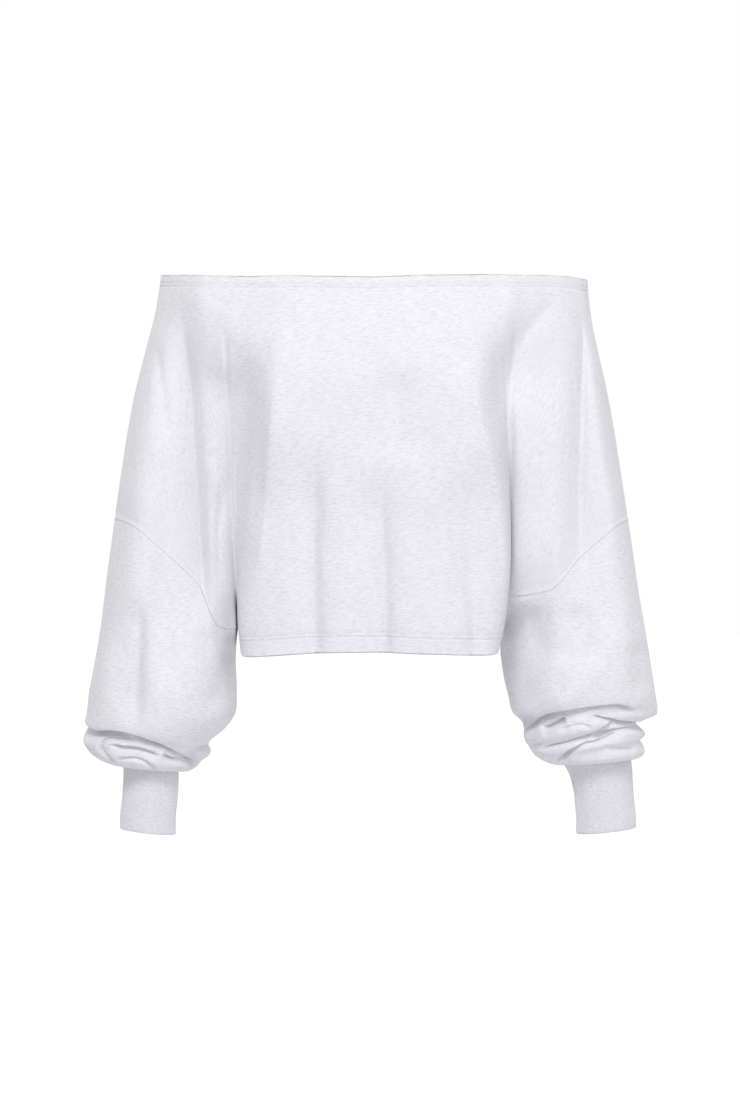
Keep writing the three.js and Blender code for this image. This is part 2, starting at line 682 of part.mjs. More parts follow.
// Gives a patch its thickness: an outer skin, an inner skin and a rim that joins them.
function wallMesh(patch, normals) {
  const cells = cellsOf(patch);
  const edges = openEdges(patch, cells);
  const moves = setBack(edges);
  const outer = ([i, j]) => {
    const point = patch.grid[i][j].clone();
    return moves.has(`${i},${j}`) ? point.add(moves.get(`${i},${j}`)) : point;
  };
  const inner = ([i, j]) =>
    outer([i, j]).addScaledVector(
      normals.get(keyOf(patch.grid[i][j])),
      -patch.wall(i),
    );
  const positions = [];
  const triangle = (...points) =>
    points.forEach((point) => positions.push(...point.toArray()));
  for (const [a, b, c, d] of cells) {
    const [oa, ob, oc, od] = [a, b, c, d].map(outer);
    const [ia, ib, ic, id] = [a, b, c, d].map(inner);
    if (oa.distanceTo(oc) <= ob.distanceTo(od)) {
      triangle(oa, ob, oc);
      triangle(oa, oc, od);
      triangle(ia, ic, ib);
      triangle(ia, id, ic);
    } else {
      triangle(oa, ob, od);
      triangle(ob, oc, od);
      triangle(ia, id, ib);
      triangle(ib, id, ic);
    }
  }
  // Two pieces split the rim at their seam along the same diagonal, so their rims stay parallel.
  const across = (a, b) => {
    const [pa, pb] = [a, b].map(([i, j]) => patch.grid[i][j]);
    const under = pb.clone().addScaledVector(normals.get(keyOf(pb)), -CLOTH);
    return pa.distanceTo(under);
  };
  for (const { from, to } of edges) {
    if (across(to, from) <= across(from, to)) {
      triangle(outer(to), outer(from), inner(from));
      triangle(outer(to), inner(from), inner(to));
    } else {
      triangle(outer(to), outer(from), inner(to));
      triangle(outer(from), inner(from), inner(to));
    }
  }
  const geometry = new THREE.BufferGeometry();
  geometry.setAttribute(
    "position",
    new THREE.Float32BufferAttribute(positions, 3),
  );
  geometry.computeVertexNormals();
  const material = new THREE.MeshStandardMaterial({
    color: patch.colour,
    roughness: 0.95,
    metalness: 0,
  });
  const mesh = new THREE.Mesh(geometry, material);
  mesh.name = patch.name;
  return mesh;
}

const patches = [
  panelPatch("front"),
  panelPatch("back"),
  sleevePatch("left"),
  sleevePatch("right"),
  cuffPatch("left"),
  cuffPatch("right"),
];
const normals = sharedNormals(patches);
const garment = new THREE.Group();
for (const patch of patches) garment.add(wallMesh(patch, normals));

export default garment;
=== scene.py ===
# %% [markdown]
# # An off-shoulder sweatshirt top in white heather jersey
#
# The real top is six pieces of knitted cloth: a front and a back cut in one with long shoulders, two
# full sleeves that pile up above the wrists, and two rib cuffs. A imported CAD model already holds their
# true shapes as plain walls. This notebook gives each of them its looks: thin cloth with rolled edges,
# folds, stitching, ribs, and the pale flecks of heather yarn.
#
# Everything is worked out in millimetres, the way a pattern cutter would, and turned into Blender's
# metres only when a mesh is made.

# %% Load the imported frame
import math

import bpy
import numpy as np
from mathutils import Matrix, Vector


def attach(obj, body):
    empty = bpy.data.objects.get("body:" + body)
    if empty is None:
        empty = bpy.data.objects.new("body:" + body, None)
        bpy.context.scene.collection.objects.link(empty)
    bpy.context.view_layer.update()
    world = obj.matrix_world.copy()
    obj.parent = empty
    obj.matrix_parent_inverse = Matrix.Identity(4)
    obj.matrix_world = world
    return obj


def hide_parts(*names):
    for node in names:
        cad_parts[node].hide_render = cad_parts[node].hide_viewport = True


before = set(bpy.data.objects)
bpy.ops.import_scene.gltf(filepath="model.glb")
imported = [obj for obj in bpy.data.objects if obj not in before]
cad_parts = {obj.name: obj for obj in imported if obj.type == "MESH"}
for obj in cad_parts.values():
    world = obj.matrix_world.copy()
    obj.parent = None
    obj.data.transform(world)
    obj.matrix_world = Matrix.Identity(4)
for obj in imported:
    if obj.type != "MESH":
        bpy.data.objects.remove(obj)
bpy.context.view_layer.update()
METRES = 0.001
print("CAD nodes:", sorted(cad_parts))

# %% [markdown]
# ## Smooth curves
#
# Cloth has no hard steps, so every shape starts from a few measured numbers and a smooth curve through
# them. Blender could fit curve objects through the points, but a dozen lines of numpy give the same
# result for thousands of points at once and keep the numbers in plain sight.

# %% Curve helpers
CURVE_TOP, CURVE_END, CURVE_STEP = 40.0, -540.0, 0.5
BLUR_REACH = 3  # how many half widths of the blur are summed


def ease(t):
    """Rises from 0 to 1 with flat ends."""
    t = np.clip(t, 0.0, 1.0)
    return t * t * (3.0 - 2.0 * t)


def round_root(t):
    """Rises fast from 0 and levels out at 1, like the round of a fold that closes."""
    return np.sqrt(np.sin(0.5 * np.pi * np.clip(t, 0.0, 1.0)))


def blend(a, b, t):
    return a + (b - a) * t


def hermite(a, b, slope_a, slope_b, t):
    """The cubic from a to b with those slopes at its ends."""
    t2, t3 = t * t, t * t * t
    return (
        (2 * t3 - 3 * t2 + 1) * a
        + (t3 - 2 * t2 + t) * slope_a
        + (3 * t2 - 2 * t3) * b
        + (t3 - t2) * slope_b
    )


def curve_down(heights, values, soften):
    """A function of height: the smooth curve down through one column of a table."""
    h, v = np.asarray(heights, float), np.asarray(values, float)
    slope, gap = np.diff(v) / np.diff(h), -np.diff(h)
    tangent = np.concatenate([slope[:1], np.zeros(len(v) - 2), slope[-1:]])
    tangent[1:-1] = (slope[:-1] * gap[1:] + slope[1:] * gap[:-1]) / (gap[1:] + gap[:-1])
    z = np.arange(CURVE_TOP, CURVE_END, -CURVE_STEP)
    k = np.clip(np.searchsorted(-h, -z, side="left") - 1, 0, len(h) - 2)
    span = h[k + 1] - h[k]
    t = (z - h[k]) / span
    inside = hermite(v[k], v[k + 1], tangent[k] * span, tangent[k + 1] * span, np.clip(t, 0, 1))
    above = np.where(t < 0, tangent[k] * (z - h[k]), 0)
    below = np.where(t > 1, tangent[k + 1] * (z - h[k + 1]), 0)
    line = inside + above + below
    if soften:
        reach = int(BLUR_REACH * soften / CURVE_STEP)
        weights = np.exp(-0.5 * (np.arange(-reach, reach + 1) * CURVE_STEP / soften) ** 2)
        padded = np.pad(line, reach, mode="reflect", reflect_type="odd")
        line = np.convolve(padded, weights / weights.sum(), mode="valid")
    return lambda height: np.interp(-np.asarray(height, float), -z, line)


def between(values, s):
    """A smooth value between those that a list gives at 0, 1, 2 and so on."""
    last = len(values) - 1
    i = min(last - 1, max(0, math.floor(s)))

    def tangent(k):
        return (values[min(last, k + 1)] - values[max(0, k - 1)]) / 2

    return hermite(values[i], values[i + 1], tangent(i), tangent(i + 1), s - i)


print("half way between 0 and 10:", between([0, 10], 0.5))

# %% [markdown]
# ## The worn shape, as sections
#
# A worn sweatshirt is read like a ship's hull: level cuts at named heights, each a smooth line through
# named points. Ten lines run down the cloth from the outer seam to the middle of the body. For each one
# the tables give how far it lies out from the middle and how far forward (or back). The crease is the
# hollow between arm and body, and it closes at the underarm. These are the same sizes that the CAD
# walls are made from, so before any fold is added the cloth lies on them.

# %% Section tables
LINE_NAMES = "seam outer arm fold inner crease side bust quarter centre".split()
CREASE, CENTRE = LINE_NAMES.index("crease"), LINE_NAMES.index("centre")
RING = 2 * CREASE  # once round a sleeve, counted in lines

LEFT_FRONT = [  # height, then out and forward for each line
    [0, 213, 2, 210, 16, 203, 29, 191, 40, 166, 57, 138, 71, 118, 79, 91, 88, 48, 95, 0, 98],
    [-35, 215, 8, 212, 22, 207, 35, 198, 44, 168, 65, 139, 80, 119, 89, 93, 98, 48, 106, 0, 108],
    [-70, 221, 14, 218, 29, 211, 43, 202, 51, 172, 67, 137, 78, 121, 92, 97, 108, 49, 116, 0, 117],
    [-105, 228, 17, 225, 34, 217, 49, 205, 55, 174, 66, 135, 60, 123, 84, 101, 117, 51, 122, 0, 121],
    [-150, 235, 18, 232, 37, 223, 54, 206, 58, 175, 68, 134, 55, 127, 82, 107, 117, 53, 121, 0, 120],
    [-200, 244, 17, 240, 39, 229, 58, 206, 60, 175, 70, 135, 52, 131, 78, 115, 114, 55, 119, 0, 118],
    [-250, 253, 14, 249, 40, 234, 61, 205, 62, 175, 70, 135, 52, 134, 74, 121, 110, 56, 117, 0, 116],
    [-300, 261, 8, 256, 40, 238, 64, 204, 65, 175, 70, 130, 50, 134, 68, 125, 106, 58, 115, 0, 115],
    [-350, 270, 4, 264, 41, 242, 67, 207, 69, 172, 66, 126, 50, 128, 60, 121, 102, 58, 113, 0, 113],
    [-385, 276, 2, 269, 42, 244, 69, 210, 72, 168, 62, 126, 50, 120, 54, 114, 98, 56, 111, 0, 111],
    [-420, 281, 0, 273, 43, 246, 70, 212, 73, 167, 58, 130, 50, 120, 54, 114, 98, 56, 111, 0, 111],
]
RIGHT_FRONT = [
    [0, 213, 0, 208, 18, 199, 32, 186, 45, 164, 60, 142, 70, 120, 79, 92, 88, 48, 95, 0, 98],
    [-35, 218, 0, 212, 24, 202, 39, 187, 51, 166, 66, 144, 78, 123, 87, 95, 98, 48, 106, 0, 108],
    [-70, 227, 0, 220, 30, 206, 48, 187, 57, 167, 66, 145, 76, 125, 90, 97, 108, 49, 116, 0, 117],
    [-105, 236, 0, 228, 35, 210, 55, 184, 57, 165, 61, 144, 58, 124, 82, 98, 117, 50, 122, 0, 121],
    [-150, 245, 0, 237, 39, 215, 61, 180, 58, 163, 61, 143, 54, 126, 76, 102, 116, 52, 121, 0, 120],
    [-200, 253, 0, 245, 42, 220, 66, 177, 57, 161, 61, 142, 52, 129, 72, 107, 112, 54, 119, 0, 118],
    [-250, 260, 0, 251, 44, 224, 69, 175, 56, 159, 60, 140, 51, 132, 68, 113, 107, 56, 117, 0, 116],
    [-300, 267, 0, 257, 46, 227, 71, 173, 57, 157, 59, 138, 50, 134, 62, 119, 102, 58, 115, 0, 115],
    [-350, 273, 0, 263, 47, 229, 72, 175, 62, 155, 56, 136, 50, 134, 57, 124, 98, 59, 113, 0, 113],
    [-385, 279, 0, 268, 47, 231, 73, 181, 68, 157, 56, 136, 50, 131, 53, 122, 95, 58, 111, 0, 111],
    [-420, 285, 0, 273, 48, 233, 74, 189, 72, 159, 55, 137, 50, 131, 53, 122, 95, 58, 111, 0, 111],
]
BACK = [
    [0, 213, 0, 208, 20, 197, 35, 182, 47, 162, 58, 140, 68, 118, 76, 90, 82, 46, 87, 0, 89],
    [-35, 217, 0, 213, 26, 203, 43, 186, 55, 166, 64, 142, 74, 120, 83, 94, 90, 48, 94, 0, 95],
    [-70, 225, 0, 222, 32, 209, 51, 190, 62, 168, 67, 142, 72, 124, 84, 98, 96, 50, 99, 0, 99],
    [-105, 235, 0, 231, 37, 215, 57, 193, 66, 168, 68, 141, 64, 128, 82, 104, 99, 52, 101, 0, 100],
    [-150, 244, 0, 240, 41, 221, 62, 195, 69, 168, 69, 140, 58, 131, 79, 110, 100, 54, 101, 0, 99],
    [-200, 252, 0, 247, 44, 225, 66, 196, 71, 167, 69, 139, 54, 133, 75, 116, 98, 56, 100, 0, 98],
    [-250, 259, 0, 254, 46, 229, 69, 197, 73, 166, 69, 138, 52, 135, 70, 120, 96, 58, 98, 0, 97],
    [-300, 266, 0, 261, 47, 232, 71, 199, 74, 164, 67, 136, 50, 135, 64, 122, 93, 59, 97, 0, 96],
    [-350, 272, 0, 267, 48, 234, 72, 200, 74, 162, 60, 132, 50, 131, 56, 122, 89, 60, 95, 0, 95],
    [-385, 278, 0, 272, 48, 236, 72, 201, 74, 162, 57, 131, 50, 126, 52, 119, 86, 58, 94, 0, 94],
    [-420, 284, 0, 277, 48, 237, 72, 202, 74, 163, 56, 134, 50, 126, 52, 119, 86, 58, 94, 0, 94],
]
LAST_DRAWN = -420  # the tables' last row
BUST_HEIGHT = -105  # where the creases beside the body start to close
SPLIT_BLEND = 40  # height over which arm and body round out below the underarm
SIDES = {
    "left": dict(sign=1, front="left front", underarm=-322, underarm_out=128, body_out=117),
    "right": dict(sign=-1, front="right front", underarm=-352, underarm_out=136, body_out=131),
}
OTHER = {"front": "back", "back": "front", "left": "right", "right": "left"}
FACING = {"front": -1, "back": 1}  # the sign of Y on the side that a panel covers
print("section rows:", len(LEFT_FRONT), "lines:", LINE_NAMES)

# %% [markdown]
# The necklines, armholes and hems wander up and down across the cloth, so each is a list of heights,
# one per named line. Below the armholes the sleeve has its own small table: the balloon narrows to
# the wrist, swings forward with the forearm, and sinks where the cloth piles up.

# %% Edge heights and the lower sleeve
EDGES = {  # from the outer seam to the middle
    "left neck front": [-4, -4, -4, -3, -3, -4, -4, -5, -6, -8],
    "right neck front": [1, 0, -1, -2, -4, -5, -6, -6, -7, -8],
    "left neck back": [-4, -3, -2, 0, 1, 2, 3, 4, 4, 4],
    "right neck back": [1, 1, 1, 2, 2, 3, 3, 4, 4, 4],
    "left armhole": [-245, -246, -254, -280, -313, -322, -326, -330, -334, -336],
    "right armhole": [-245, -245, -260, -308, -348, -352, -348, -343, -338, -336],
    "left hem front": [-366, -371, -377, -376, -374],  # from the crease to the middle
    "right hem front": [-364, -376, -379, -375, -374],
    "left hem back": [-366, -370, -373, -372, -371],
    "right hem back": [-364, -371, -375, -373, -371],
}
LOWER = {  # height, inner edge, outer edge, half depth, forward, sunk
    "left": [
        [-322, 128, 265, 70, 0, 0],
        [-385, 127, 277, 71, 2, 0],
        [-415, 133, 281, 71, 3, 0],
        [-435, 140, 284, 69, 4, 0],
        [-450, 148, 280, 65, 5, 0],
        [-462, 150, 273, 61, 6, 0],
        [-472, 153, 272, 58, 7, -1],
        [-482, 168, 269, 50, 8, -1],
        [-490, 179, 262, 42, 8, -5],
        [-496, 184, 258, 36, 8, -11],
        [-500, 189, 256, 33, 8, -16],
    ],
    "right": [
        [-322, 136, 270, 70, 0, 0],
        [-385, 138, 281, 71, 2, 0],
        [-415, 137, 285, 71, 3, 0],
        [-435, 139, 287, 69, 4, 0],
        [-450, 150, 290, 66, 5, 0],
        [-462, 161, 292, 62, 6, 0],
        [-472, 161, 289, 58, 7, -1],
        [-482, 167, 279, 52, 8, 1],
        [-490, 178, 265, 42, 8, 0],
        [-496, 188, 254, 33, 8, -4],
        [-500, 195, 250, 28, 8, -11],
    ],
}
LOWER_NAMES = "inner outer depth forward sunk".split()
BLEND_TOP, BLEND_END = -385, -462  # the sleeve turns from the drawn section to an ellipse
SWING_TOP, SWING_HEIGHT = -245, 100
CUFF_TOP = -500
STACK_TILT = 3  # the stack and the cuff's edge lie this much higher on the outside
ELLIPSE_DEGREES = [0, 34, 68, 98, 134, 180]  # each line's angle round the lower sleeve
SOFTEN_SECTIONS, SOFTEN_LOWER = 9, 1.5  # blur down the curves, so no band shows


def edge_height(name, s):
    first = CREASE if "hem" in name else 0
    return between(EDGES[name], s - first)


def curves_of(rows, soften):
    """A list of [out, forward] curve pairs, one pair for each line of a section table."""
    heights, columns = [row[0] for row in rows], list(zip(*rows))[1:]
    made = [curve_down(heights, column, soften) for column in columns]
    return list(zip(made[0::2], made[1::2]))


SECTIONS = {
    "left front": curves_of(LEFT_FRONT, SOFTEN_SECTIONS),
    "right front": curves_of(RIGHT_FRONT, SOFTEN_SECTIONS),
    "back": curves_of(BACK, SOFTEN_SECTIONS),
}
LOWER_CURVES = {
    side: {
        name: curve_down([row[0] for row in rows], [row[i + 1] for row in rows], SOFTEN_LOWER)
        for i, name in enumerate(LOWER_NAMES)
    }
    for side, rows in LOWER.items()
}
print("left underarm edge height:", edge_height("left armhole", CREASE))

# %% [markdown]
# ## One surface for the whole garment
#
# `surface_point` answers one question: where is the cloth at line position `s` and height `z`? Every
# piece asks the same function, so a sleeve's first ring and the armhole it is sewn to always agree.
# Above the underarm the front crease lies between arm and body. Below it, the arm closes into a sleeve
# and the body into a trunk, so each half looks round the corner for its next neighbour.


# %% The drawn surface
LEAST_KNOT = 1e-3  # keeps two points in one place from dividing by zero


def line_point(side, panel, line, z, part):
    """Where a named line lies in plan, at each height in z."""
    make = SIDES[side]
    front = SECTIONS[make["front"]]
    if line == 0:
        out, forward = front[0]
        return np.stack([make["sign"] * out(z), -forward(z)], -1)
    out, forward = (front if panel == "front" else SECTIONS["back"])[line]
    if line != CREASE:
        return np.stack([make["sign"] * out(z), FACING[panel] * forward(z)], -1)
    underarm, underarm_out = make["underarm"], make["underarm_out"]
    open_share = round_root((z - underarm) / (BUST_HEIGHT - underarm))
    away = LOWER_CURVES[side]["inner"](z) if part == "arm" else make["body_out"]
    split_share = round_root((underarm - z) / SPLIT_BLEND)
    x = np.where(
        z >= underarm,
        blend(underarm_out, front[CREASE][0](z), open_share),
        blend(underarm_out, away, split_share),
    )
    y = np.where(z >= underarm, FACING[panel] * open_share * forward(z), 0)
    return np.stack([make["sign"] * x, y], -1)


def curve_point(p0, p1, p2, p3, t, scale_start, scale_end):
    """A point of the curve from p1 to p2 that keeps its shape however uneven the points are."""

    def knot(start, end):
        return np.maximum(LEAST_KNOT, np.sqrt(np.linalg.norm(end - start, axis=-1)))[:, None]

    a, b, c = knot(p0, p1), knot(p1, p2), knot(p2, p3)
    chord = p2 - p1
    start = chord + b * ((p1 - p0) / a - (p2 - p0) / (a + b))
    end = chord + b * ((p3 - p2) / c - (p3 - p1) / (b + c))
    return hermite(p1, p2, start * scale_start, end * scale_end, t)


def surface_point(side, panel, s, z, part):
    """The drawn surface in plan at one line position, for each height in z."""
    z = np.asarray(z, float)
    k = min(CENTRE - 1, max(0, math.floor(s)))
    split = (z < SIDES[side]["underarm"])[:, None]

    def neighbour(i):
        if i < 0:
            return line_point(side, OTHER[panel], -i, z, part)
        if i > CENTRE:
            return line_point(OTHER[side], panel, 2 * CENTRE - i, z, part)
        here = line_point(side, panel, i, z, part)
        if (part == "arm" and i > CREASE) or (part == "body" and i < CREASE):
            round_corner = line_point(side, OTHER[panel], 2 * CREASE - i, z, part)
            return np.where(split, round_corner, here)
        return here

    points = [neighbour(i) for i in (k - 1, k, k + 1, k + 2)]
    rounding = ease(np.abs(z - SIDES[side]["underarm"]) / SPLIT_BLEND)[:, None]
    scale = [rounding if i == CREASE else 1.0 for i in (k, k + 1)]
    return curve_point(*points, s - k, *scale)


bust = surface_point("left", "front", CENTRE, [BUST_HEIGHT], "body")[0]
print("front middle at the bust:", bust.round(1))

# %% [markdown]
# A worn arm lies against the body, so cloth bridges most of the hollow between them and only a narrow
# crease stays. The bridge is one cubic curve from arm to body that keeps their slopes, so no edge shows
# where it starts.


# %% Fill the hollow between arm and body
HOLLOW = 0.75  # share of the body's own slope with which the filled hollow meets the body
CREASE_DEPTH, CREASE_WIDTH = 2.5, 0.12  # the half width is in line positions
SLOPE_STEP = 0.05  # line positions over which a slope is measured
CREASE_TURN, FILL_EDGE = 0.2, 0.1  # line positions over which the fill starts and ends


def close_crease(side, panel, s, plan, z):
    """Fills the hollow between arm and body to a soft valley with a narrow crease in it."""
    off = s - CREASE
    if abs(off) >= 1:
        return plan
    facing, underarm = FACING[panel], SIDES[side]["underarm"]

    def depth(at, part):
        return facing * surface_point(side, panel, at, z, part)[:, 1]

    arm, body = depth(CREASE - 1, "arm"), depth(CREASE + 1, "body")
    arm_slope = (arm - depth(CREASE - 1 - SLOPE_STEP, "arm")) / SLOPE_STEP
    body_slope = (depth(CREASE + 1 + SLOPE_STEP, "body") - body) / SLOPE_STEP
    full = hermite(arm, body, 2 * arm_slope, 2 * HOLLOW * body_slope, (off + 1) / 2)
    full -= CREASE_DEPTH * math.exp(-((off / CREASE_WIDTH) ** 2))
    hold = ease((z - underarm) / SPLIT_BLEND)
    if off < 0:
        hold = blend(ease(-off / CREASE_TURN), 1, hold) * ease(1 + (z - underarm) / SPLIT_BLEND)
    share = hold * ease((1 - abs(off)) / FILL_EDGE)
    plan[:, 1] += facing * share * np.maximum(0, full - facing * plan[:, 1])
    return plan


waist = np.array([-200.0])
open_crease = surface_point("left", "front", CREASE, waist, "body")
print("front crease, x and y as drawn:", open_crease[0].round(1))
print("and with its hollow filled:", close_crease("left", "front", CREASE, open_crease, waist)[0].round(1))

# %% [markdown]
# ## Folds
#
# Loopback jersey is heavy enough to hang in long soft folds. Cloth simulation could find some, but not
# these ones: the folds that a photograph shows have to be placed. So each is drawn as a path on the
# cloth seen from the front or the back, with a half width, a depth and a lean that makes one flank
# steeper than the other. A negative depth is a ridge. A crisp fold has a narrow floor.

# %% Draw the folds
FOLDS = [  # panel, half width, depth, lean, crispness, path
    # torso: broad round ridges with narrow valleys between them
    ("front", 20, 12, 0.4, 1.15, [(-55, -158), (-56, -226), (-57, -294), (-55, -366), (-54, -439)]),
    ("front", 5, 4.2, 0.3, 1.4, [(-55, -177), (-56, -226), (-57, -294), (-55, -366), (-54, -439)]),
    ("front", 20, 11.5, 0.4, 1.15, [(8, -182), (10, -255), (11, -313), (12, -366), (13, -439)]),
    ("front", 5, 4.0, 0.3, 1.4, [(9, -216), (10, -255), (12, -313), (13, -366), (13, -439)]),
    ("front", 20, 6.5, 0.35, 1.15, [(83, -197), (91, -284), (96, -332), (97, -366), (99, -439)]),
    ("front", 6, 1.8, -0.2, 1.5, [(87, -245), (92, -284), (97, -332), (98, -366), (99, -439)]),
    ("front", 28, 4.5, 0.0, 1.9, [(24, -96), (28, -145), (32, -195)]),
    ("front", 36, 13, 0.0, 1.6, [(-101, -148), (-109, -226), (-118, -303), (-126, -366), (-130, -439)]),
    ("front", 40, 16, 0.0, 1.6, [(108, -168), (120, -245), (130, -323), (133, -366), (135, -439)]),
    # bust ridges, where the front turns to the sides
    ("front", 12, -4.5, -0.4, 1.1, [(-97, -92), (-101, -158), (-106, -224), (-112, -278), (-124, -334)]),
    ("front", 14, -3.5, 0.4, 1.1, [(97, -84), (105, -148), (118, -196), (126, -255), (131, -313)]),
    ("front", 8, 4.0, 0.0, 1.5, [(-110, -114), (-111, -147), (-113, -196), (-119, -255)]),
    ("front", 18, 4, 0.0, 1.8, [(108, -60), (113, -120), (118, -180), (124, -240)]),
    # from the neck's corners towards the bust
    ("front", 16, 3.2, 0.2, 1.6, [(-180, -22), (-160, -47), (-143, -74), (-131, -108)]),
    ("front", 7, 2.0, 0.2, 1.5, [(-172, -20), (-154, -30), (-131, -44)]),
    ("front", 9, 4.5, 0.0, 1.4, [(188, -20), (166, -42), (146, -67), (135, -96), (130, -137)]),
    ("front", 26, -10, 0.0, 2.0, [(-196, 4), (-165, -40), (-146, -80), (-136, -128)]),
    ("front", 16, -3, 0.0, 2.0, [(150, 0), (124, -50), (113, -90), (110, -130)]),
    # where arm and body meet
    ("front", 24, -11, -0.4, 2.0, [(128, -80), (140, -140), (144, -240), (140, -350)]),
    ("front", 4, 3.4, 0.2, 1.2,
     [(-140, -93), (-139, -127), (-141, -176), (-143, -223), (-139, -269), (-137, -323),
      (-136, -363)]),
    ("front", 9, -2.4, 0.0, 1.8, [(-159, -122), (-155, -176), (-158, -245), (-154, -313)]),
    ("front", 9, 1.6, 0.0, 1.6, [(-139, -113), (-153, -108), (-171, -109)]),
    ("front", 9, 1.6, 0.0, 1.6, [(-141, -112), (-128, -104), (-116, -88)]),
    ("front", 5, 5.0, 0.0, 1.4, [(-149, -205), (-153, -245), (-154, -272), (-152, -299), (-147, -319)]),
    ("front", 4, 2.0, -0.2, 1.2,
     [(132, -76), (132, -127), (133, -195), (135, -264), (136, -323), (135, -363)]),
    # arms: the long valley down from each neck corner, and its neighbours
    ("front", 15, 12, 0.35, 1.25,
     [(-195, -19), (-187, -63), (-180, -127), (-176, -195), (-172, -264), (-167, -323), (-164, -372)]),
    ("front", 4, 3.0, 0.0, 1.3,
     [(-190, -44), (-184, -80), (-179, -140), (-175, -205), (-171, -270), (-166, -330)]),
    ("front", 7, 4.6, 0.2, 1.3, [(-218, -58), (-211, -97), (-206, -136), (-205, -176)]),
    ("front", 9, 4.0, 0.2, 1.5, [(-212, -166), (-209, -225), (-208, -269), (-205, -323), (-201, -382)]),
    ("front", 9, 8, 0.2, 1.25,
     [(202, -14), (207, -68), (205, -146), (203, -215), (202, -284), (199, -323)]),
    ("front", 3.5, 2.2, 0.0, 1.3, [(203, -26), (206, -68), (205, -146), (204, -215), (202, -270)]),
    ("front", 14, 4.0, 0.0, 1.8, [(226, -68), (234, -156), (242, -225)]),
    # sleeves
    ("front", 10, 5.0, 0.0, 1.5, [(-213, -269), (-210, -313), (-206, -362), (-202, -416)]),
    ("front", 18, 12, 0.6, 1.4, [(-229, -313), (-230, -367), (-232, -422), (-234, -456)]),
    ("front", 14, 3.0, 0.0, 1.8, [(-249, -343), (-251, -392), (-251, -431)]),
    ("front", 12, 6.0, 0.0, 1.7, [(-133, -362), (-145, -394), (-159, -421), (-167, -443)]),
    ("front", 10, 4.5, 0.0, 1.6, [(-165, -348), (-163, -382), (-159, -411)]),
    ("front", 15, -6.0, 0.2, 1.7, [(225, -377), (206, -404), (182, -425), (167, -437)]),
    ("front", 16, 6.5, 0.0, 1.7, [(153, -323), (163, -362), (178, -394)]),
    ("front", 13, 5.5, 0.0, 1.7, [(200, -323), (196, -362), (188, -394)]),
    ("front", 13, 5.0, 0.0, 1.7, [(257, -362), (261, -392), (263, -421)]),
    # back
    ("back", 20, 13, 0.4, 1.15, [(-72, -90), (-68, -180), (-64, -290), (-67, -440)]),
    ("back", 5, 3.6, 0.3, 1.4, [(-70, -150), (-67, -230), (-65, -300), (-66, -440)]),
    ("back", 20, 12, 0.4, 1.15, [(6, -150), (3, -220), (-2, -320), (0, -440)]),
    ("back", 5, 3.6, 0.3, 1.4, [(4, -190), (1, -260), (-1, -330), (0, -440)]),
    ("back", 20, 13, -0.4, 1.15, [(70, -80), (75, -190), (72, -300), (75, -440)]),
    ("back", 5, 3.6, -0.3, 1.4, [(73, -130), (74, -210), (73, -300), (75, -440)]),
    ("back", 34, 8, 0.0, 1.6, [(-116, -190), (-122, -270), (-126, -440)]),
    ("back", 34, 8, 0.0, 1.6, [(118, -190), (124, -270), (126, -440)]),
    ("back", 5, 2.0, 0.0, 1.3, [(-142, -100), (-140, -180), (-138, -270), (-137, -352)]),
    ("back", 5, 2.0, 0.0, 1.3, [(142, -100), (140, -180), (137, -260), (130, -322)]),
    ("back", 14, 10, 0.35, 1.25, [(-186, -20), (-196, -150), (-206, -290), (-214, -420)]),
    ("back", 14, 10, -0.35, 1.25, [(188, -20), (199, -140), (208, -280), (216, -420)]),
    ("back", 9, 4, 0.2, 1.4, [(-158, -120), (-164, -210), (-170, -300)]),
    ("back", 9, 4, -0.2, 1.4, [(160, -110), (168, -200), (172, -290)]),
    ("back", 16, 5, 0.2, 1.6, [(-204, -14), (-168, -44), (-140, -80), (-126, -120)]),
    ("back", 16, 5, -0.2, 1.6, [(204, -14), (168, -44), (140, -80), (126, -120)]),
    ("back", 16, 9, 0.5, 1.5, [(-240, -330), (-242, -380), (-240, -440)]),
    ("back", 13, 6, -0.3, 1.5, [(240, -320), (238, -370), (234, -430)]),
    ("back", 12, 5, 0.2, 1.6, [(-176, -360), (-168, -400), (-162, -436)]),
    ("back", 12, 5, 0.2, 1.6, [(176, -340), (166, -380), (160, -420)]),
]
print("drawn folds:", len(FOLDS))

# %% [markdown]
# A point's distance to a fold's path gives how deep the fold presses there: a bell across the path that
# fades at both ends. Distances are taken to straight steps along the path, all points at once.

# %% Measure from a fold's path
FOLD_END = 0.28  # share of a fold's length over which each end dies out
FOLD_RISE = 25  # distance out from the garment's middle plane at which folds reach full depth
FOLD_REACH = 4  # half widths beyond which a fold has died out
PATH_STEPS = 24


def drawn_path(knots):
    """A path's points, evenly counted along a smooth curve through its knots."""
    knots = np.asarray(knots, float)
    spread = np.linspace(0, len(knots) - 1, PATH_STEPS)
    return np.array([[between(knots[:, 0], s), between(knots[:, 1], s)] for s in spread])


def off_path(path, x, z):
    """How far points lie to the side of a path, and how far along it they are (0 to 1)."""
    start, step = path[:-1], np.diff(path, axis=0)
    length = np.linalg.norm(step, axis=1)
    begin = np.cumsum(length) - length
    point = np.stack([x, z], -1)[:, None, :]
    share = np.clip(((point - start) * step).sum(-1) / length**2, 0, 1)
    gap = point - start - share[..., None] * step
    near = np.linalg.norm(gap, axis=-1).argmin(-1)
    pick = np.arange(len(near))
    side = (gap[pick, near, 0] * step[near, 1] - gap[pick, near, 1] * step[near, 0]) / length[near]
    return side, (begin[near] + share[pick, near] * length[near]) / length.sum()


DRAWN_FOLDS = [(*row[:-1], drawn_path(row[-1])) for row in FOLDS]


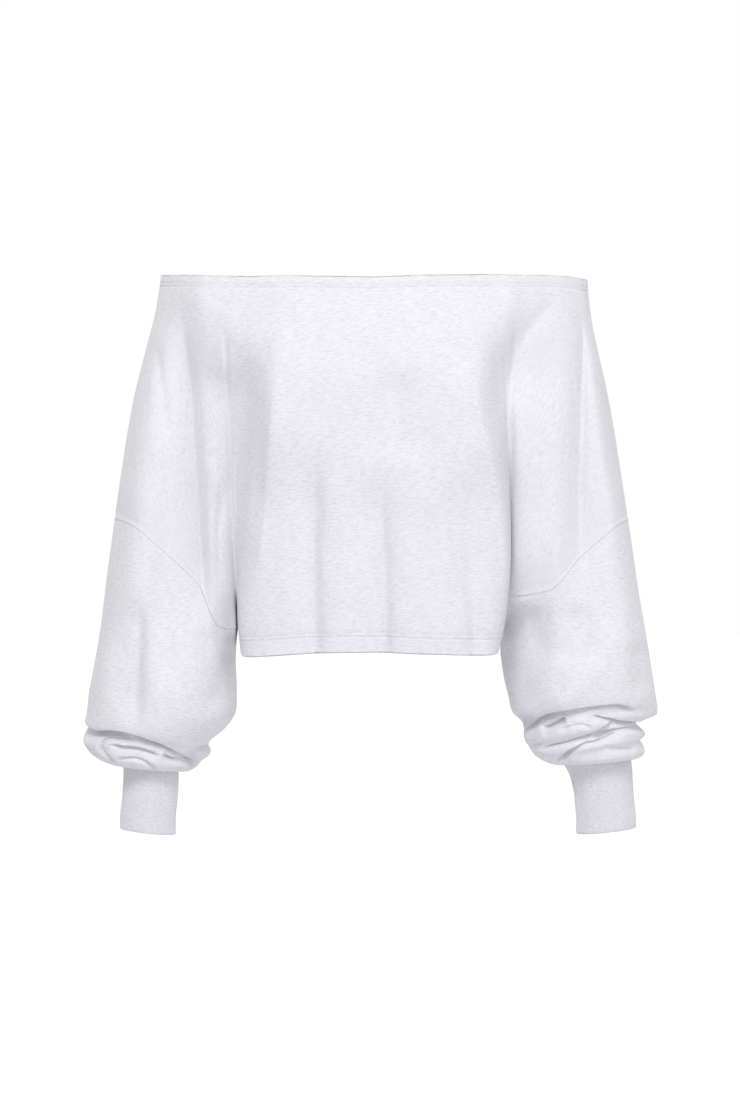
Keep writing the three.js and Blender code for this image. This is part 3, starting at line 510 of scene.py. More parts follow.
def fold_depth(panel, x, z):
    """How deep the drawn folds press the cloth in, at points seen from the front or the back."""
    depth = np.zeros_like(x)
    for on, width, deep, lean, crisp, path in DRAWN_FOLDS:
        if on != panel:
            continue
        low, high = path.min(0) - FOLD_REACH * width, path.max(0) + FOLD_REACH * width
        near = (x > low[0]) & (x < high[0]) & (z > low[1]) & (z < high[1])
        if not near.any():
            continue
        side, along = off_path(path, x[near], z[near])
        reach = width * np.where(side > 0, 1 + lean, 1 - lean)
        shape = np.exp(-((np.abs(side) / reach) ** crisp))
        ends = ease(along / FOLD_END) * ease((1 - along) / FOLD_END)
        depth[near] += deep * shape * ends
    return depth


pressed = fold_depth("front", np.array([-10.0, 10.0]), np.array([-300.0, -300.0]))
print("folds press in by, 10 mm to each side of the middle:", pressed.round(1))

# %% [markdown]
# Between the drawn folds real cloth is never quite smooth. A handful of long, faint waves from a seeded
# random generator breaks up the last of the evenness, and the same seed gives the same cloth each run.

# %% Faint unevenness
WAVE_COUNT, WAVE_DEPTH = 14, 0.16
WAVE_DEEP, WAVE_DOWN = 0.6, 0.5  # how fast the waves change from front to back, and downward
chance = np.random.default_rng(11)
WAVE_LENGTH = chance.uniform(24, 70, WAVE_COUNT)
WAVE_TURN = chance.uniform(0, 2 * np.pi, WAVE_COUNT)
WAVE_START = chance.uniform(0, 2 * np.pi, WAVE_COUNT)


def unevenness(points):
    """Faint waves over the cloth, by place in the garment."""
    total = np.zeros(len(points))
    for length, turn, start in zip(WAVE_LENGTH, WAVE_TURN, WAVE_START):
        way = np.array([math.cos(turn), WAVE_DEEP * math.sin(2 * turn), WAVE_DOWN * math.sin(turn)])
        total += np.sin(points @ way * 2 * np.pi / length + start)
    return WAVE_DEPTH * total


def with_folds(panel, s, plan, z):
    """Lifts a plan point to its height and presses the folds into it."""
    share = ease(s) * ease(np.abs(plan[:, 1]) / FOLD_RISE)
    points = np.column_stack([plan, z])
    inward = fold_depth(panel, plan[:, 0], np.asarray(z, float)) + unevenness(points)
    points[:, 1] -= FACING[panel] * share * inward
    return points


print("waves:", WAVE_COUNT)

# %% [markdown]
# ## The stack of folds above each cuff
#
# The sleeves are longer than the arm, so they pile up in rolls above the cuffs. Each groove between two
# rolls runs part of the way round, and its cloth is pulled inward and up, so the roll above hangs over
# it. That is a displacement along two directions at once, which no plain height map could give.

# %% The sleeve's grooves
GROOVES = {  # from, to (line positions round the sleeve), heights at both, depth, lift, width
    "left": [
        (0.6, 5.6, -434, -446, 13, 11, 4.2),
        (-2.2, 2.6, -457, -446, 16, 9, 4.2),
        (1.4, 5.0, -452, -471, 12, 9, 4.0),
        (5.2, 10.2, -447, -456, 13, 9, 4.4),
        (-1.6, 4.4, -464, -481, 10, 7, 3.8),
        (4.6, 8.8, -470, -465, 12, 8, 4.2),
    ],
    "right": [
        (-0.8, 5.2, -455, -476, 15, 12, 4.2),
        (0.2, 2.4, -464, -463, 9, 7, 3.4),
        (0.7, 5.6, -472, -486, 11, 8, 3.8),
        (4.6, 9.0, -462, -458, 14, 9, 4.4),
        (5.0, 9.6, -478, -474, 12, 7, 4.2),
    ],
}
GROOVE_FADE = 0.24  # share of a groove's length over which each end dies out
FRONT_EASED = 0.7  # share of a groove that the front half gives up, because its slits do the work


def unit(rows):
    """Each row of numbers, as a direction of length 1."""
    return rows / np.linalg.norm(rows, axis=-1, keepdims=True)


def press_grooves(side, c, points, axis):
    """Pulls the cloth into the grooves: inward to the sleeve's axis, and up under the roll above."""
    z = points[:, 2].copy()
    inward = unit(axis - points[:, :2])
    for start, end, z_start, z_end, depth, lift, width in GROOVES[side]:
        for turn in (-RING, 0, RING):
            t = (c + turn - start) / (end - start)
            if not 0 < t < 1:
                continue
            fade = ease(t / GROOVE_FADE) * ease((1 - t) / GROOVE_FADE)
            press = fade * np.exp(-0.5 * ((z - blend(z_start, z_end, t)) / width) ** 2)
            if 0 < c < CREASE:
                press *= 1 - FRONT_EASED * ease(c) * ease(CREASE - c)
            points[:, :2] += inward * (depth * press)[:, None]
            points[:, 2] += lift * press
    return points


def ring_place(c):
    """The panel and half-section position of a place round the sleeve."""
    return ("front", c) if c <= CREASE else ("back", RING - c)


print("grooves:", {side: len(rows) for side, rows in GROOVES.items()})

# %% [markdown]
# The grooves above make the big rolls. The sharp lines between them, where one roll lies on the next,
# are drawn as slits: each follows a path seen from the front or the back, cuts in narrowly at its floor
# and dips more widely beside it, so that the roll on either side looks stuffed.

# %% The slits between the rolls
SLITS = {  # seen from, depth, lift, width, path
    "right": [
        ("front", 9, 6, 1.8,
         [(-291, -460), (-275, -455), (-259, -453), (-240, -455), (-224, -459), (-199, -469),
          (-185, -473), (-174, -469), (-164, -465), (-147, -461)]),
        ("front", 5, 3, 1.4,
         [(-235, -459), (-244, -461), (-254, -461), (-263, -462), (-269, -465), (-271, -470),
          (-268, -475), (-262, -480), (-256, -485)]),
        ("front", 6, 4, 1.5,
         [(-262, -467), (-249, -469), (-239, -469), (-229, -470), (-220, -472),
          (-211, -474)]),
        ("front", 8, 5, 1.8,
         [(-208, -472), (-199, -476), (-191, -477), (-181, -477), (-173, -480),
          (-164, -485)]),
        ("front", 4, 2, 1.6, [(-256, -481), (-243, -479), (-233, -479), (-224, -482), (-214, -490)]),
        ("front", 3, 1, 1.6, [(-204, -490), (-195, -488), (-186, -489)]),
        ("back", 9, 6, 1.9,
         [(-292, -452), (-270, -449), (-244, -452), (-216, -459), (-190, -461),
          (-160, -452)]),
        ("back", 7, 4.5, 1.8, [(-285, -463), (-262, -466), (-240, -464), (-222, -467)]),
        ("back", 8, 5, 1.8, [(-250, -476), (-226, -474), (-204, -477), (-182, -473), (-166, -467)]),
        ("back", 4, 2, 1.9, [(-272, -481), (-252, -484), (-232, -482)]),
    ],
    "left": [
        ("front", 9, 6, 1.8,
         [(141, -454), (156, -443), (162, -437), (171, -433), (183, -431), (198, -429),
          (215, -427), (229, -426), (243, -426), (259, -431)]),
        ("front", 8, 5, 1.8,
         [(213, -434), (223, -438), (233, -440), (243, -443), (254, -445), (267, -447),
          (285, -447)]),
        ("front", 9, 3, 2.2, [(163, -448), (171, -445), (177, -442), (187, -437)]),
        ("front", 3, 1.5, 1.9, [(180, -450), (191, -447), (199, -445), (206, -446), (215, -449)]),
        ("front", 7, 4.5, 1.6,
         [(163, -469), (175, -464), (185, -462), (198, -458), (211, -455), (221, -451),
          (231, -446), (243, -442)]),
        ("front", 7, 3.5, 1.6,
         [(214, -458), (225, -454), (235, -452), (244, -451), (259, -451), (268, -451),
          (281, -452)]),
        ("front", 7, 4.5, 1.6,
         [(178, -479), (185, -475), (193, -470), (201, -466), (208, -463), (217, -462),
          (227, -459), (236, -456), (243, -451)]),
        ("front", 2.5, 1, 2.1, [(224, -468), (238, -471), (248, -473), (259, -474)]),
        ("back", 9, 6, 1.9,
         [(285, -440), (262, -436), (236, -438), (210, -446), (184, -449),
          (156, -444)]),
        ("back", 8, 5, 1.8, [(272, -452), (250, -450), (228, -455), (204, -462), (182, -462)]),
        ("back", 7, 4.5, 1.8, [(262, -466), (240, -463), (216, -470), (194, -474), (176, -470)]),
        ("back", 5, 3, 1.9, [(232, -446), (214, -451), (196, -455)]),
    ],
}
print("slits:", {side: len(rows) for side, rows in SLITS.items()})

# %% [markdown]
# A slit is two bells across its path: a narrow one, which also lifts the cloth, and a wide soft one.
# Seen from the front, a path should mark only the front skin, so it fades as the sleeve turns away.

# %% Cut the slits
SLIT_FADE = 0.13  # share of a slit's length over which each end dies out
DIP_SHARE, DIP_WIDTH, DIP_ROUND = 0.36, 3.8, 1.3  # the wide part of a slit
SLIT_DROP = 0.6  # share of its lift by which a slit starts lower, to end up on its path
WRAP_START, WRAP_SPAN = -0.25, 0.45  # how far a slit runs on round the sleeve's outline
DRAWN_SLITS = {
    side: [(*row[:-1], drawn_path(row[-1]) - [0, SLIT_DROP * row[2]]) for row in rows]
    for side, rows in SLITS.items()
}


def press_slits(side, points, axis, half_depth):
    """Cuts the drawn slits into the sleeve: narrow and lifted at the floor, wide and soft beside it."""
    seen = np.column_stack([points[:, 0], points[:, 2]])
    inward = unit(axis - points[:, :2])
    frontness = (axis[:, 1] - points[:, 1]) / half_depth
    for panel, depth, lift, width, path in DRAWN_SLITS[side]:
        reach = FOLD_REACH * DIP_WIDTH * width
        low, high = path.min(0) - reach, path.max(0) + reach
        near = ((seen > low) & (seen < high)).all(1)
        if not near.any():
            continue
        facing = frontness[near] if panel == "front" else -frontness[near]
        off, along = off_path(path, *seen[near].T)
        off = np.abs(off)
        fade = ease(along / SLIT_FADE) * ease((1 - along) / SLIT_FADE)
        fade *= ease((facing - WRAP_START) / WRAP_SPAN)
        narrow = fade * np.exp(-((off / width) ** 2))
        wide = fade * np.exp(-((off / (DIP_WIDTH * width)) ** DIP_ROUND))
        press = (1 - DIP_SHARE) * narrow + DIP_SHARE * wide
        points[near, :2] += inward[near] * (depth * press)[:, None]
        points[near, 2] += lift * narrow
    return points


print("longest slit in path points:", max(len(row[-1]) for rows in SLITS.values() for row in rows))

# %% [markdown]
# One function now puts the whole sleeve together. At the armhole it is the drawn surface itself. Lower
# down it turns into an oval round the forearm, and takes the folds, the grooves and the slits.


# %% The sleeve's surface
def sleeve_point(side, c, z):
    """The sleeve's cloth at one place round it, for each height in z."""
    z = np.asarray(z, float)
    sign, lower = SIDES[side]["sign"], LOWER_CURVES[side]
    panel, s = ring_place(c)
    plan = surface_point(side, panel, s, np.maximum(z, LAST_DRAWN), "arm")
    close_crease(side, panel, s, plan, z)
    inner, outer, forward = lower["inner"](z), lower["outer"](z), np.maximum(0, lower["forward"](z))
    angle = math.radians(between(ELLIPSE_DEGREES, s))
    middle = (inner + outer) / 2
    oval = np.column_stack([
        sign * (middle + (outer - inner) / 2 * math.cos(angle)),
        FACING[panel] * lower["depth"](z) * math.sin(angle) - forward,
    ])
    turned = ease((BLEND_TOP - z) / (BLEND_TOP - BLEND_END))
    plan[:, 1] -= forward * ease((SWING_TOP - z) / SWING_HEIGHT)
    points = with_folds(panel, s, blend(plan, oval, turned[:, None]), z)
    axis = np.column_stack([sign * middle, -forward])
    press_grooves(side, c, points, axis)
    press_slits(side, points, axis, lower["depth"](z))
    points[:, 2] += STACK_TILT * math.cos(angle) * turned - lower["sunk"](z)
    return points


print("left sleeve's outer edge at the cuff:", sleeve_point("left", 0, [CUFF_TOP])[0].round(1))

# %% [markdown]
# ## Laying out each piece
#
# A piece is a grid of points: columns run along the cloth's named lines and rows run down it. Where
# something small happens, at a rolled edge or a row of stitches, the rows lie closer together. That
# costs far fewer faces than a fine grid everywhere.

# %% Rows and columns
NECK_BAND, HEM_BAND, LEAST_SIDE = 11.0, 20.0, 6.0
NECK_STITCHES = (8.7, 12.0)  # below the neck edge
HEM_STITCHES = (16.0, 19.4)  # above the hem
FINE_TOP, FINE_STEP = 15.4, 0.7
SEAM_STEPS = [0.3, 0.8, 1.6, 2.8]  # distances from a seam at which rows lie
EDGE_COLUMNS = [0, 0.013, 0.035, 0.07, 0.105, 0.14, 0.175, 0.21, 0.245, 0.28, 0.33, 0.4, 0.5]
ARM_CELLS, BODY_CELLS = (8, 10, 12, 13, 16), (12, 18, 26, 22)
PANEL_ROWS, BODY_ROWS = 88, 7


def spaced(counts, first):
    """Line positions with so many cells between each two named lines."""
    places = [first]
    for k, count in enumerate(counts):
        places += [first + k + (n + 1) / count for n in range(count)]
    return places


HALF_COLUMNS = EDGE_COLUMNS + [s for s in spaced(ARM_CELLS + BODY_CELLS, 0) if s > EDGE_COLUMNS[-1]]
PANEL_COLUMNS = [("right", s) for s in HALF_COLUMNS] + [("left", s) for s in HALF_COLUMNS[-2::-1]]


def hem_height(side, s, hem):
    """How high the turned hem is at one column: less where the side is short."""
    return min(HEM_BAND, edge_height(f"{side} armhole", s) - LEAST_SIDE - hem)


def panel_heights(side, panel, s):
    """The heights of one column's points, from the neck edge down to the hem."""
    neck, armhole = edge_height(f"{side} neck {panel}", s), edge_height(f"{side} armhole", s)
    band = neck - np.arange(0, FINE_TOP, FINE_STEP)
    plain = np.linspace(band[-1], armhole + SEAM_STEPS[-1], PANEL_ROWS)[1:]
    seam = armhole + np.array([*SEAM_STEPS[-2::-1], 0])
    if s < CREASE:
        return np.concatenate([band, plain, seam])
    hem = edge_height(f"{side} hem {panel}", s)
    band_top = hem + hem_height(side, s, hem)
    body = np.linspace(armhole, band_top, BODY_ROWS)[1:]
    fold = hem + (band_top - hem) * np.linspace(1, 0, int(HEM_BAND / FINE_STEP))[1:]
    return np.concatenate([band, plain, seam, body, fold])


def panel_grid(panel):
    """The front's or the back's points, and which of them are cloth."""
    columns = PANEL_COLUMNS if panel == "front" else PANEL_COLUMNS[::-1]
    rows = len(panel_heights("left", panel, CENTRE))
    grid, here = np.zeros((rows, len(columns), 3)), np.zeros((rows, len(columns)), bool)
    for j, (side, s) in enumerate(columns):
        z = panel_heights(side, panel, s)
        part = "arm" if s < CREASE else "body"
        plan = close_crease(side, panel, s, surface_point(side, panel, s, z, part), z)
        grid[: len(z), j] = with_folds(panel, s, plan, z)
        here[: len(z), j] = True
    return grid, here, columns


front_grid, front_here, front_columns = panel_grid("front")
back_grid, back_here, back_columns = panel_grid("back")
print("front points:", int(front_here.sum()), "back points:", int(back_here.sum()))

# %% [markdown]
# A sleeve's rows start at the armhole and crowd together in the stack. Its columns run once round.

# %% Sleeve grids
RING_CELLS = (14, 15, 17, 19, 26)
STACK_TOP = -424
SLEEVE_ROWS, STACK_ROWS = 46, 132
HALF_RING = spaced(RING_CELLS, 0)
RING_PLACES = HALF_RING + [RING - s for s in HALF_RING[-2:0:-1]]


def sleeve_heights(side, c):
    armhole = edge_height(f"{side} armhole", ring_place(c)[1])
    seam = armhole - np.array([0, *SEAM_STEPS])
    plain = np.linspace(seam[-1], STACK_TOP, SLEEVE_ROWS)[1:]
    stack = np.linspace(STACK_TOP, CUFF_TOP, STACK_ROWS)[1:]
    return np.concatenate([seam, plain, stack])


def sleeve_grid(side):
    places = RING_PLACES if side == "right" else RING_PLACES[:1] + RING_PLACES[:0:-1]
    columns = [sleeve_point(side, c, sleeve_heights(side, c)) for c in places]
    return np.stack(columns, 1), places


left_grid, left_places = sleeve_grid("left")
right_grid, right_places = sleeve_grid("right")
print("points round a sleeve:", len(RING_PLACES), "and down it:", left_grid.shape[0])

# %% [markdown]
# ## From a grid to cloth
#
# Cloth is two skins a ply apart. The Solidify modifier could add the second skin, but its edges are
# square. Sewn cloth rolls over at a seam and at a folded edge, so this shell closes each edge with a
# half-round bead: small at the seams, full at the neckline, the hem and the cuffs.

# %% Faces, facings and open edges
LEAST_LENGTH = 1e-9  # keeps a point without faces from dividing by zero


def add_mesh(name, points, faces):
    """A smooth object from points in millimetres and faces, linked into the scene."""
    mesh = bpy.data.meshes.new(name)
    mesh.from_pydata((np.asarray(points) * METRES).tolist(), [], faces)
    mesh.shade_smooth()
    made = bpy.data.objects.new(name, mesh)
    bpy.context.collection.objects.link(made)
    return made


def quads_of(here, closed):
    """Faces of a grid of points, each turned outward, as rows of four point numbers."""
    index = np.full(here.shape, -1)
    index[here] = np.arange(here.sum())
    if closed:
        index = np.column_stack([index, index[:, 0]])
    corners = [index[:-1, :-1], index[1:, :-1], index[1:, 1:], index[:-1, 1:]]
    quads = np.stack(corners, -1).reshape(-1, 4)
    return quads[(quads >= 0).all(1)]


def facing_of(points, quads):
    """Which way the cloth faces at each point."""
    a, b, c, d = (points[quads[:, k]] for k in range(4))
    way = np.cross(c - a, d - b)
    normals = np.zeros_like(points)
    for k in range(4):
        np.add.at(normals, quads[:, k], way)
    return normals / np.maximum(LEAST_LENGTH, np.linalg.norm(normals, axis=1))[:, None]


def open_edges(quads):
    """Edges that only one face has: from, to, and the face."""
    start, end = quads.ravel(), np.roll(quads, -1, axis=1).ravel()
    face = np.repeat(np.arange(len(quads)), 4)
    size = quads.max() + 1
    lone = ~np.isin(start * size + end, end * size + start)
    return start[lone], end[lone], face[lone]


front_quads = quads_of(front_here, False)
print("front faces:", len(front_quads), "open edges:", len(open_edges(front_quads)[0]))

# %% [markdown]
# The bead starts at the rim, the points on open edges. From there rings of points turn round from the
# outer skin to the inner one, and faces join each ring to the next.

# %% Build a shell
SEAM_BEAD, BEAD_STEPS = 0.15, 4
JERSEY_PLY, TURNED_PLIES, RIB_PLIES = 1.6, 2.8, 2.8


def rim_of(points, quads):
    """The open edges' two ends, the points on them, and the way from each point into the cloth."""
    start, end, face = open_edges(quads)
    into = points[quads[face]].mean(1) - (points[start] + points[end]) / 2
    along = unit(points[end] - points[start])
    into = unit(into - along * (into * along).sum(1)[:, None])
    inward = np.zeros_like(points)
    for tips in (start, end):
        np.add.at(inward, tips, into)
    rim = np.unique(np.concatenate([start, end]))
    return start, end, rim, unit(inward[rim])


def bead_rings(edge, normals, inward, thick, bead):
    """Rings of points from the outer skin's edge round to the inner skin's."""
    rings = []
    for k in range(1, BEAD_STEPS):
        angle = math.pi * k / BEAD_STEPS
        level = (0.5 - 0.5 * math.cos(angle)) * thick[:, None]
        reach = math.sin(angle) * bead[:, None]
        rings.append(edge - normals * level - inward * reach)
    return rings


def bead_faces(start, end, rim, count):
    """Faces that join the outer skin, the bead's rings and the inner skin."""
    place = np.full(count, -1)
    place[rim] = np.arange(len(rim))
    outer = np.arange(count)
    rings = [2 * count + k * len(rim) + place for k in range(BEAD_STEPS - 1)]
    layers = [outer, *rings, outer + count]
    return [
        np.column_stack([low[end], low[start], high[start], high[end]])
        for low, high in zip(layers[:-1], layers[1:])
    ]


def add_field(mesh, label, values, rim):
    """Keeps a value or a vector on each point, for the materials to read."""
    flat = np.concatenate([values, values] + [values[rim]] * (BEAD_STEPS - 1))
    kind, key = ("FLOAT_VECTOR", "vector") if flat.ndim == 2 else ("FLOAT", "value")
    mesh.attributes.new(label, kind, "POINT").data.foreach_set(key, flat.ravel())


def shell(name, grid, facings, here, closed, thickness, free, fields):
    """A thin cloth object with beaded edges. free tells a folded edge's points from a seam's."""
    quads = quads_of(here, closed)
    points, thick, normals = grid[here].copy(), thickness[here], facings[here]
    start, end, rim, inward = rim_of(points, quads)
    bead = np.where(free[here], thick / 2, SEAM_BEAD)[rim]
    points[rim] += inward * bead[:, None]
    inner = points - normals * thick[:, None]
    rings = bead_rings(points[rim], normals[rim], inward, thick[rim], bead)
    faces = [quads, quads[:, ::-1] + len(points), *bead_faces(start, end, rim, len(points))]
    cloth = add_mesh(name, np.concatenate([points, inner, *rings]), np.concatenate(faces).tolist())
    for label, values in fields.items():
        add_field(cloth.data, label, values[here], rim)
    a, b, c, d = (points[quads[:, k]] for k in range(4))
    area = 0.5 * np.linalg.norm(np.cross(c - a, d - b), axis=1).sum() / 1e6
    print(f"{name}: {2 * len(cloth.data.polygons)} triangles, {area:.4f} square metres")
    return cloth


def facings_on(grid, here, closed):
    """Which way the cloth faces at each point of a grid."""
    facings = np.zeros_like(grid)
    facings[here] = facing_of(grid[here], quads_of(here, closed))
    return facings


print("thickness in millimetres:", {"jersey": JERSEY_PLY, "turned": TURNED_PLIES, "rib": RIB_PLIES})

# %% [markdown]
# ## Seams and stitch lines pressed into the cloth
#
# A seam is never flush. The needle pulls the cloth down at the line and the turned edges behind it lift
# the cloth beside it. Twin-needle stitching does the same on a smaller scale: two fine furrows with a
# soft ridge between. Each is a profile by which the grid moves along its own facing.


# %% Seam and stitch profiles
SEAM_RISE, SEAM_DIP = (0.5, 1.5, 1.2), (-0.35, 5.0, 2.0)  # height, distance, half width
FURROW_DEPTH, FURROW_WIDTH = 0.75, 0.85
BETWEEN_RISE, BETWEEN_WIDTH = 0.3, 0.9
TURN_EDGE = 1.2  # height over which two plies thin to one beside a turned edge
SEAM_FADE = 0.3  # line positions over which the seam's lift dies out at the underarm


def ridge(distance, centre, width):
    return np.exp(-(((distance - centre) / width) ** 2))


def seam_profile(distance):
    """The panel's side of a seam: the turned edges behind it lift it into a fine ridge."""
    return sum(height * ridge(distance, at, width) for height, at, width in (SEAM_RISE, SEAM_DIP))


def stitch_profile(distance, lines):
    """Two fine furrows and the soft ridge between them."""
    first, second = lines
    furrows = ridge(distance, first, FURROW_WIDTH) + ridge(distance, second, FURROW_WIDTH)
    between_them = ridge(distance, (first + second) / 2, BETWEEN_WIDTH)
    return BETWEEN_RISE * between_them - FURROW_DEPTH * furrows


def turned_ply(height, distance):
    """What a turned edge of that height adds to the cloth's thickness."""
    return (TURNED_PLIES - JERSEY_PLY) * ease((height + TURN_EDGE - distance) / TURN_EDGE)


def panel_relief(panel, columns, here):
    """How far stitches lift or sink each point, how thick it is, and which edges are free."""
    relief, wall = np.zeros(here.shape), np.full(here.shape, JERSEY_PLY)
    free = np.zeros(here.shape, bool)
    for j, (side, s) in enumerate(columns):
        z = panel_heights(side, panel, s)
        rows = slice(0, len(z))
        down = z[0] - z
        relief[rows, j] += stitch_profile(down, NECK_STITCHES)
        wall[rows, j] += turned_ply(NECK_BAND, down)
        free[0, j] = s > 0
        up = z - z[-1]
        if s < CREASE:
            relief[rows, j] += seam_profile(up) * ease((CREASE - s) / SEAM_FADE)
        else:
            scaled = up * HEM_BAND / hem_height(side, s, z[-1])
            relief[rows, j] += stitch_profile(scaled, HEM_STITCHES)
            wall[rows, j] += turned_ply(HEM_BAND, scaled)
            free[len(z) - 1, j] = s > CREASE
    return relief, wall, free


def arc_along(points):
    """Distance of each point from the first one, along the line."""
    steps = np.linalg.norm(np.diff(points, axis=0), axis=-1)
    return np.concatenate([np.zeros((1, *steps.shape[1:])), np.cumsum(steps, axis=0)])


def arc_across(grid, middle):
    """Distance along each row from one of its columns."""
    arc = arc_along(grid.swapaxes(0, 1)).T
    return arc - arc[:, [middle]]


def shoulder_distance(grid):
    """Distance of each point from the nearer of the two outer seams, along its row."""
    return np.minimum(arc_across(grid, 0), -arc_across(grid, grid.shape[1] - 1))


print("front width along the cloth at the neck:", round(float(arc_across(front_grid, 0)[0, -1]), 1))

# %% [markdown]
# The maker topstitches each shoulder seam: the seam's turned edges lie towards the back, and two rows
# of stitches hold them flat there. So the back gets two furrows beside the seam, and the front none.

# %% Make the front and the back
SHOULDER_STITCHES = (2.6, 5.8)
SHOULDER_DEPTH, SHOULDER_WIDTH = 0.7, 1.0  # the seam's own furrow
TURNED_RISE, TURNED_REACH, TURNED_FADE = 0.35, 7.5, 2.5  # the turned edges behind the back
ARM_END, ARM_FADE = CREASE + 0.9, 1.6  # line positions over which the grain turns from arm to body
GRAIN_START, GRAIN_SPAN = 20, 90  # how far below the neck the arm's grain sets in, and over what height


def make_panel(name, panel, grid, here, columns):
    relief, wall, free = panel_relief(panel, columns, here)
    beside = shoulder_distance(grid)
    relief -= SHOULDER_DEPTH * ridge(beside, 0, SHOULDER_WIDTH)
    if panel == "back":
        relief += stitch_profile(beside, SHOULDER_STITCHES)
        relief += TURNED_RISE * ease((TURNED_REACH - beside) / TURNED_FADE)
    facings = facings_on(grid, here, False)
    pressed = grid + facings * relief[..., None]
    across = -FACING[panel] * arc_across(grid, len(columns) // 2)
    grain = np.stack([across, grid[..., 2], np.zeros(here.shape)], -1)
    on_arm = np.array([ease((ARM_END - s) / ARM_FADE) for _, s in columns])
    below_neck = ease((-grid[..., 2] - GRAIN_START) / GRAIN_SPAN)
    fields = {"grain": grain, "on_arm": on_arm[None, :] * below_neck}
    cloth = shell(name, pressed, facings, here, False, wall, free, fields)
    return cloth, pressed, facings


front_panel, *front_surface = make_panel("front_panel", "front", front_grid, front_here, front_columns)
back_panel, *back_surface = make_panel("back_panel", "back", back_grid, back_here, back_columns)

# %% [markdown]
# ## The sleeves
#
# Each sleeve is a tube, so its grid closes on itself. Its grain runs round the arm from the outer edge,
# and down along the cloth, through the folds of the stack. Measured that way the flecks keep their size
# in every roll.

# %% Make the sleeves
UNDERARM_DEPTH, UNDERARM_WIDTH = 0.5, 0.045  # the underarm seam's furrow, in line positions
ARMHOLE_DEPTH, ARMHOLE_AT, ARMHOLE_WIDTH = 0.22, 0.6, 1.1  # the furrow below the armhole seam


def make_sleeve(name, side, grid, places):
    here = np.ones(grid.shape[:2], bool)
    down = arc_along(grid)
    relief = -ARMHOLE_DEPTH * ridge(down, ARMHOLE_AT, ARMHOLE_WIDTH)
    ring = np.array([c if c <= CREASE else c - RING for c in places])
    order = np.argsort(ring)
    across = np.zeros(grid.shape[:2])
    across[:, order] = arc_across(grid[:, order], int(np.searchsorted(ring[order], 0)))
    relief -= UNDERARM_DEPTH * ridge(np.abs(np.abs(ring) - CREASE)[None, :], 0, UNDERARM_WIDTH)
    free = np.zeros(here.shape, bool)
    wall = np.full(here.shape, JERSEY_PLY)
    start = np.array([edge_height(f"{side} armhole", ring_place(c)[1]) for c in places])
    grain = np.stack([across, start[None, :] - down, np.zeros(here.shape)], -1)
    fields = {"grain": grain, "on_arm": np.zeros(here.shape)}
    facings = facings_on(grid, here, True)
    pressed = grid + facings * relief[..., None]
    return shell(name, pressed, facings, here, True, wall, free, fields)


left_sleeve = make_sleeve("left_sleeve_cloth", "left", left_grid, left_places)
right_sleeve = make_sleeve("right_sleeve_cloth", "right", right_grid, right_places)

# %% [markdown]
# ## The rib cuffs
#
# One-by-one rib is a row of rounded knit columns with a narrow valley after each. At this size a ribbed
# cuff shows about a hundred of them. They could be a bump pattern, but ribs catch the light along their
# whole length and break the cuff's outline, so they are real: the tube's radius swells once per rib.

# %% Make the cuffs
CUFFS = {  # height, distance out of the middle, radius
    "left": [(-494, 226, 31.5), (-506, 228, 30), (-535, 231, 29.5), (-554, 233, 29.5)],
    "right": [(-503, 222.5, 27.5), (-520, 223.5, 27.5), (-538, 225.5, 27.5), (-555, 227.5, 27)],
}
RIBS = {"left": 112, "right": 104}
RIB_SAMPLES, RIB_DEPTH, CUFF_ROWS = 6, 0.45, 26
RIB_ROUND, RIB_LEVEL = 0.7, 0.75  # how full a rib's round is, and where the cuff's radius lies in it
ANGLE_STEPS = 400
DENSE_RING = np.linspace(0, CREASE, ANGLE_STEPS)
DENSE_ANGLE = np.array([between(ELLIPSE_DEGREES, s) for s in DENSE_RING])


def cuff_column(side, degrees, forward):
    """One column of a cuff, from the sleeve's last ring down to the cuff's edge."""
    back = degrees > 180
    s = float(np.interp(360 - degrees if back else degrees, DENSE_ANGLE, DENSE_RING))
    top = sleeve_point(side, RING - s if back else s, [CUFF_TOP])[0]
    angle, sign = math.radians(degrees), SIDES[side]["sign"]
    rows = np.array([top, *[
        (
            sign * (middle + radius * math.cos(angle)),
            -radius * math.sin(angle) - forward,
            z + STACK_TILT * math.cos(angle),
        )
        for z, middle, radius in CUFFS[side]
    ]])
    z = np.linspace(rows[0, 2], rows[-1, 2], CUFF_ROWS)
    x = curve_down(rows[:, 2], rows[:, 0], 0)(z)
    y = curve_down(rows[:, 2], rows[:, 1], 0)(z)
    return np.column_stack([x, y, z])


def make_cuff(name, side):
    count = RIBS[side] * RIB_SAMPLES
    degrees = np.arange(count) * 360 / count
    if side == "left":
        degrees = -degrees % 360
    forward = float(LOWER_CURVES[side]["forward"](CUFF_TOP))
    grid = np.stack([cuff_column(side, d, forward) for d in degrees], 1)
    here = np.ones(grid.shape[:2], bool)
    phase = degrees * RIBS[side] / 360
    swell = np.abs(np.sin(np.pi * phase)) ** RIB_ROUND - RIB_LEVEL
    relief = np.repeat(RIB_DEPTH * swell[None, :], CUFF_ROWS, axis=0)
    facings = facings_on(grid, here, True)
    grid += facings * relief[..., None]
    free = np.zeros(here.shape, bool)
    free[-1] = True
    turn = np.where(degrees > 180, degrees - 360, degrees) * math.pi / 180
    across = np.repeat((turn * CUFFS[side][1][2])[None, :], CUFF_ROWS, axis=0)
    grain = np.stack([across, grid[..., 2], np.zeros(here.shape)], -1)
    fields = {"grain": grain, "on_arm": np.zeros(here.shape)}
    return shell(name, grid, facings, here, True, np.full(here.shape, RIB_PLIES), free, fields)


left_cuff = make_cuff("left_cuff_rib", "left")
right_cuff = make_cuff("right_cuff_rib", "right")

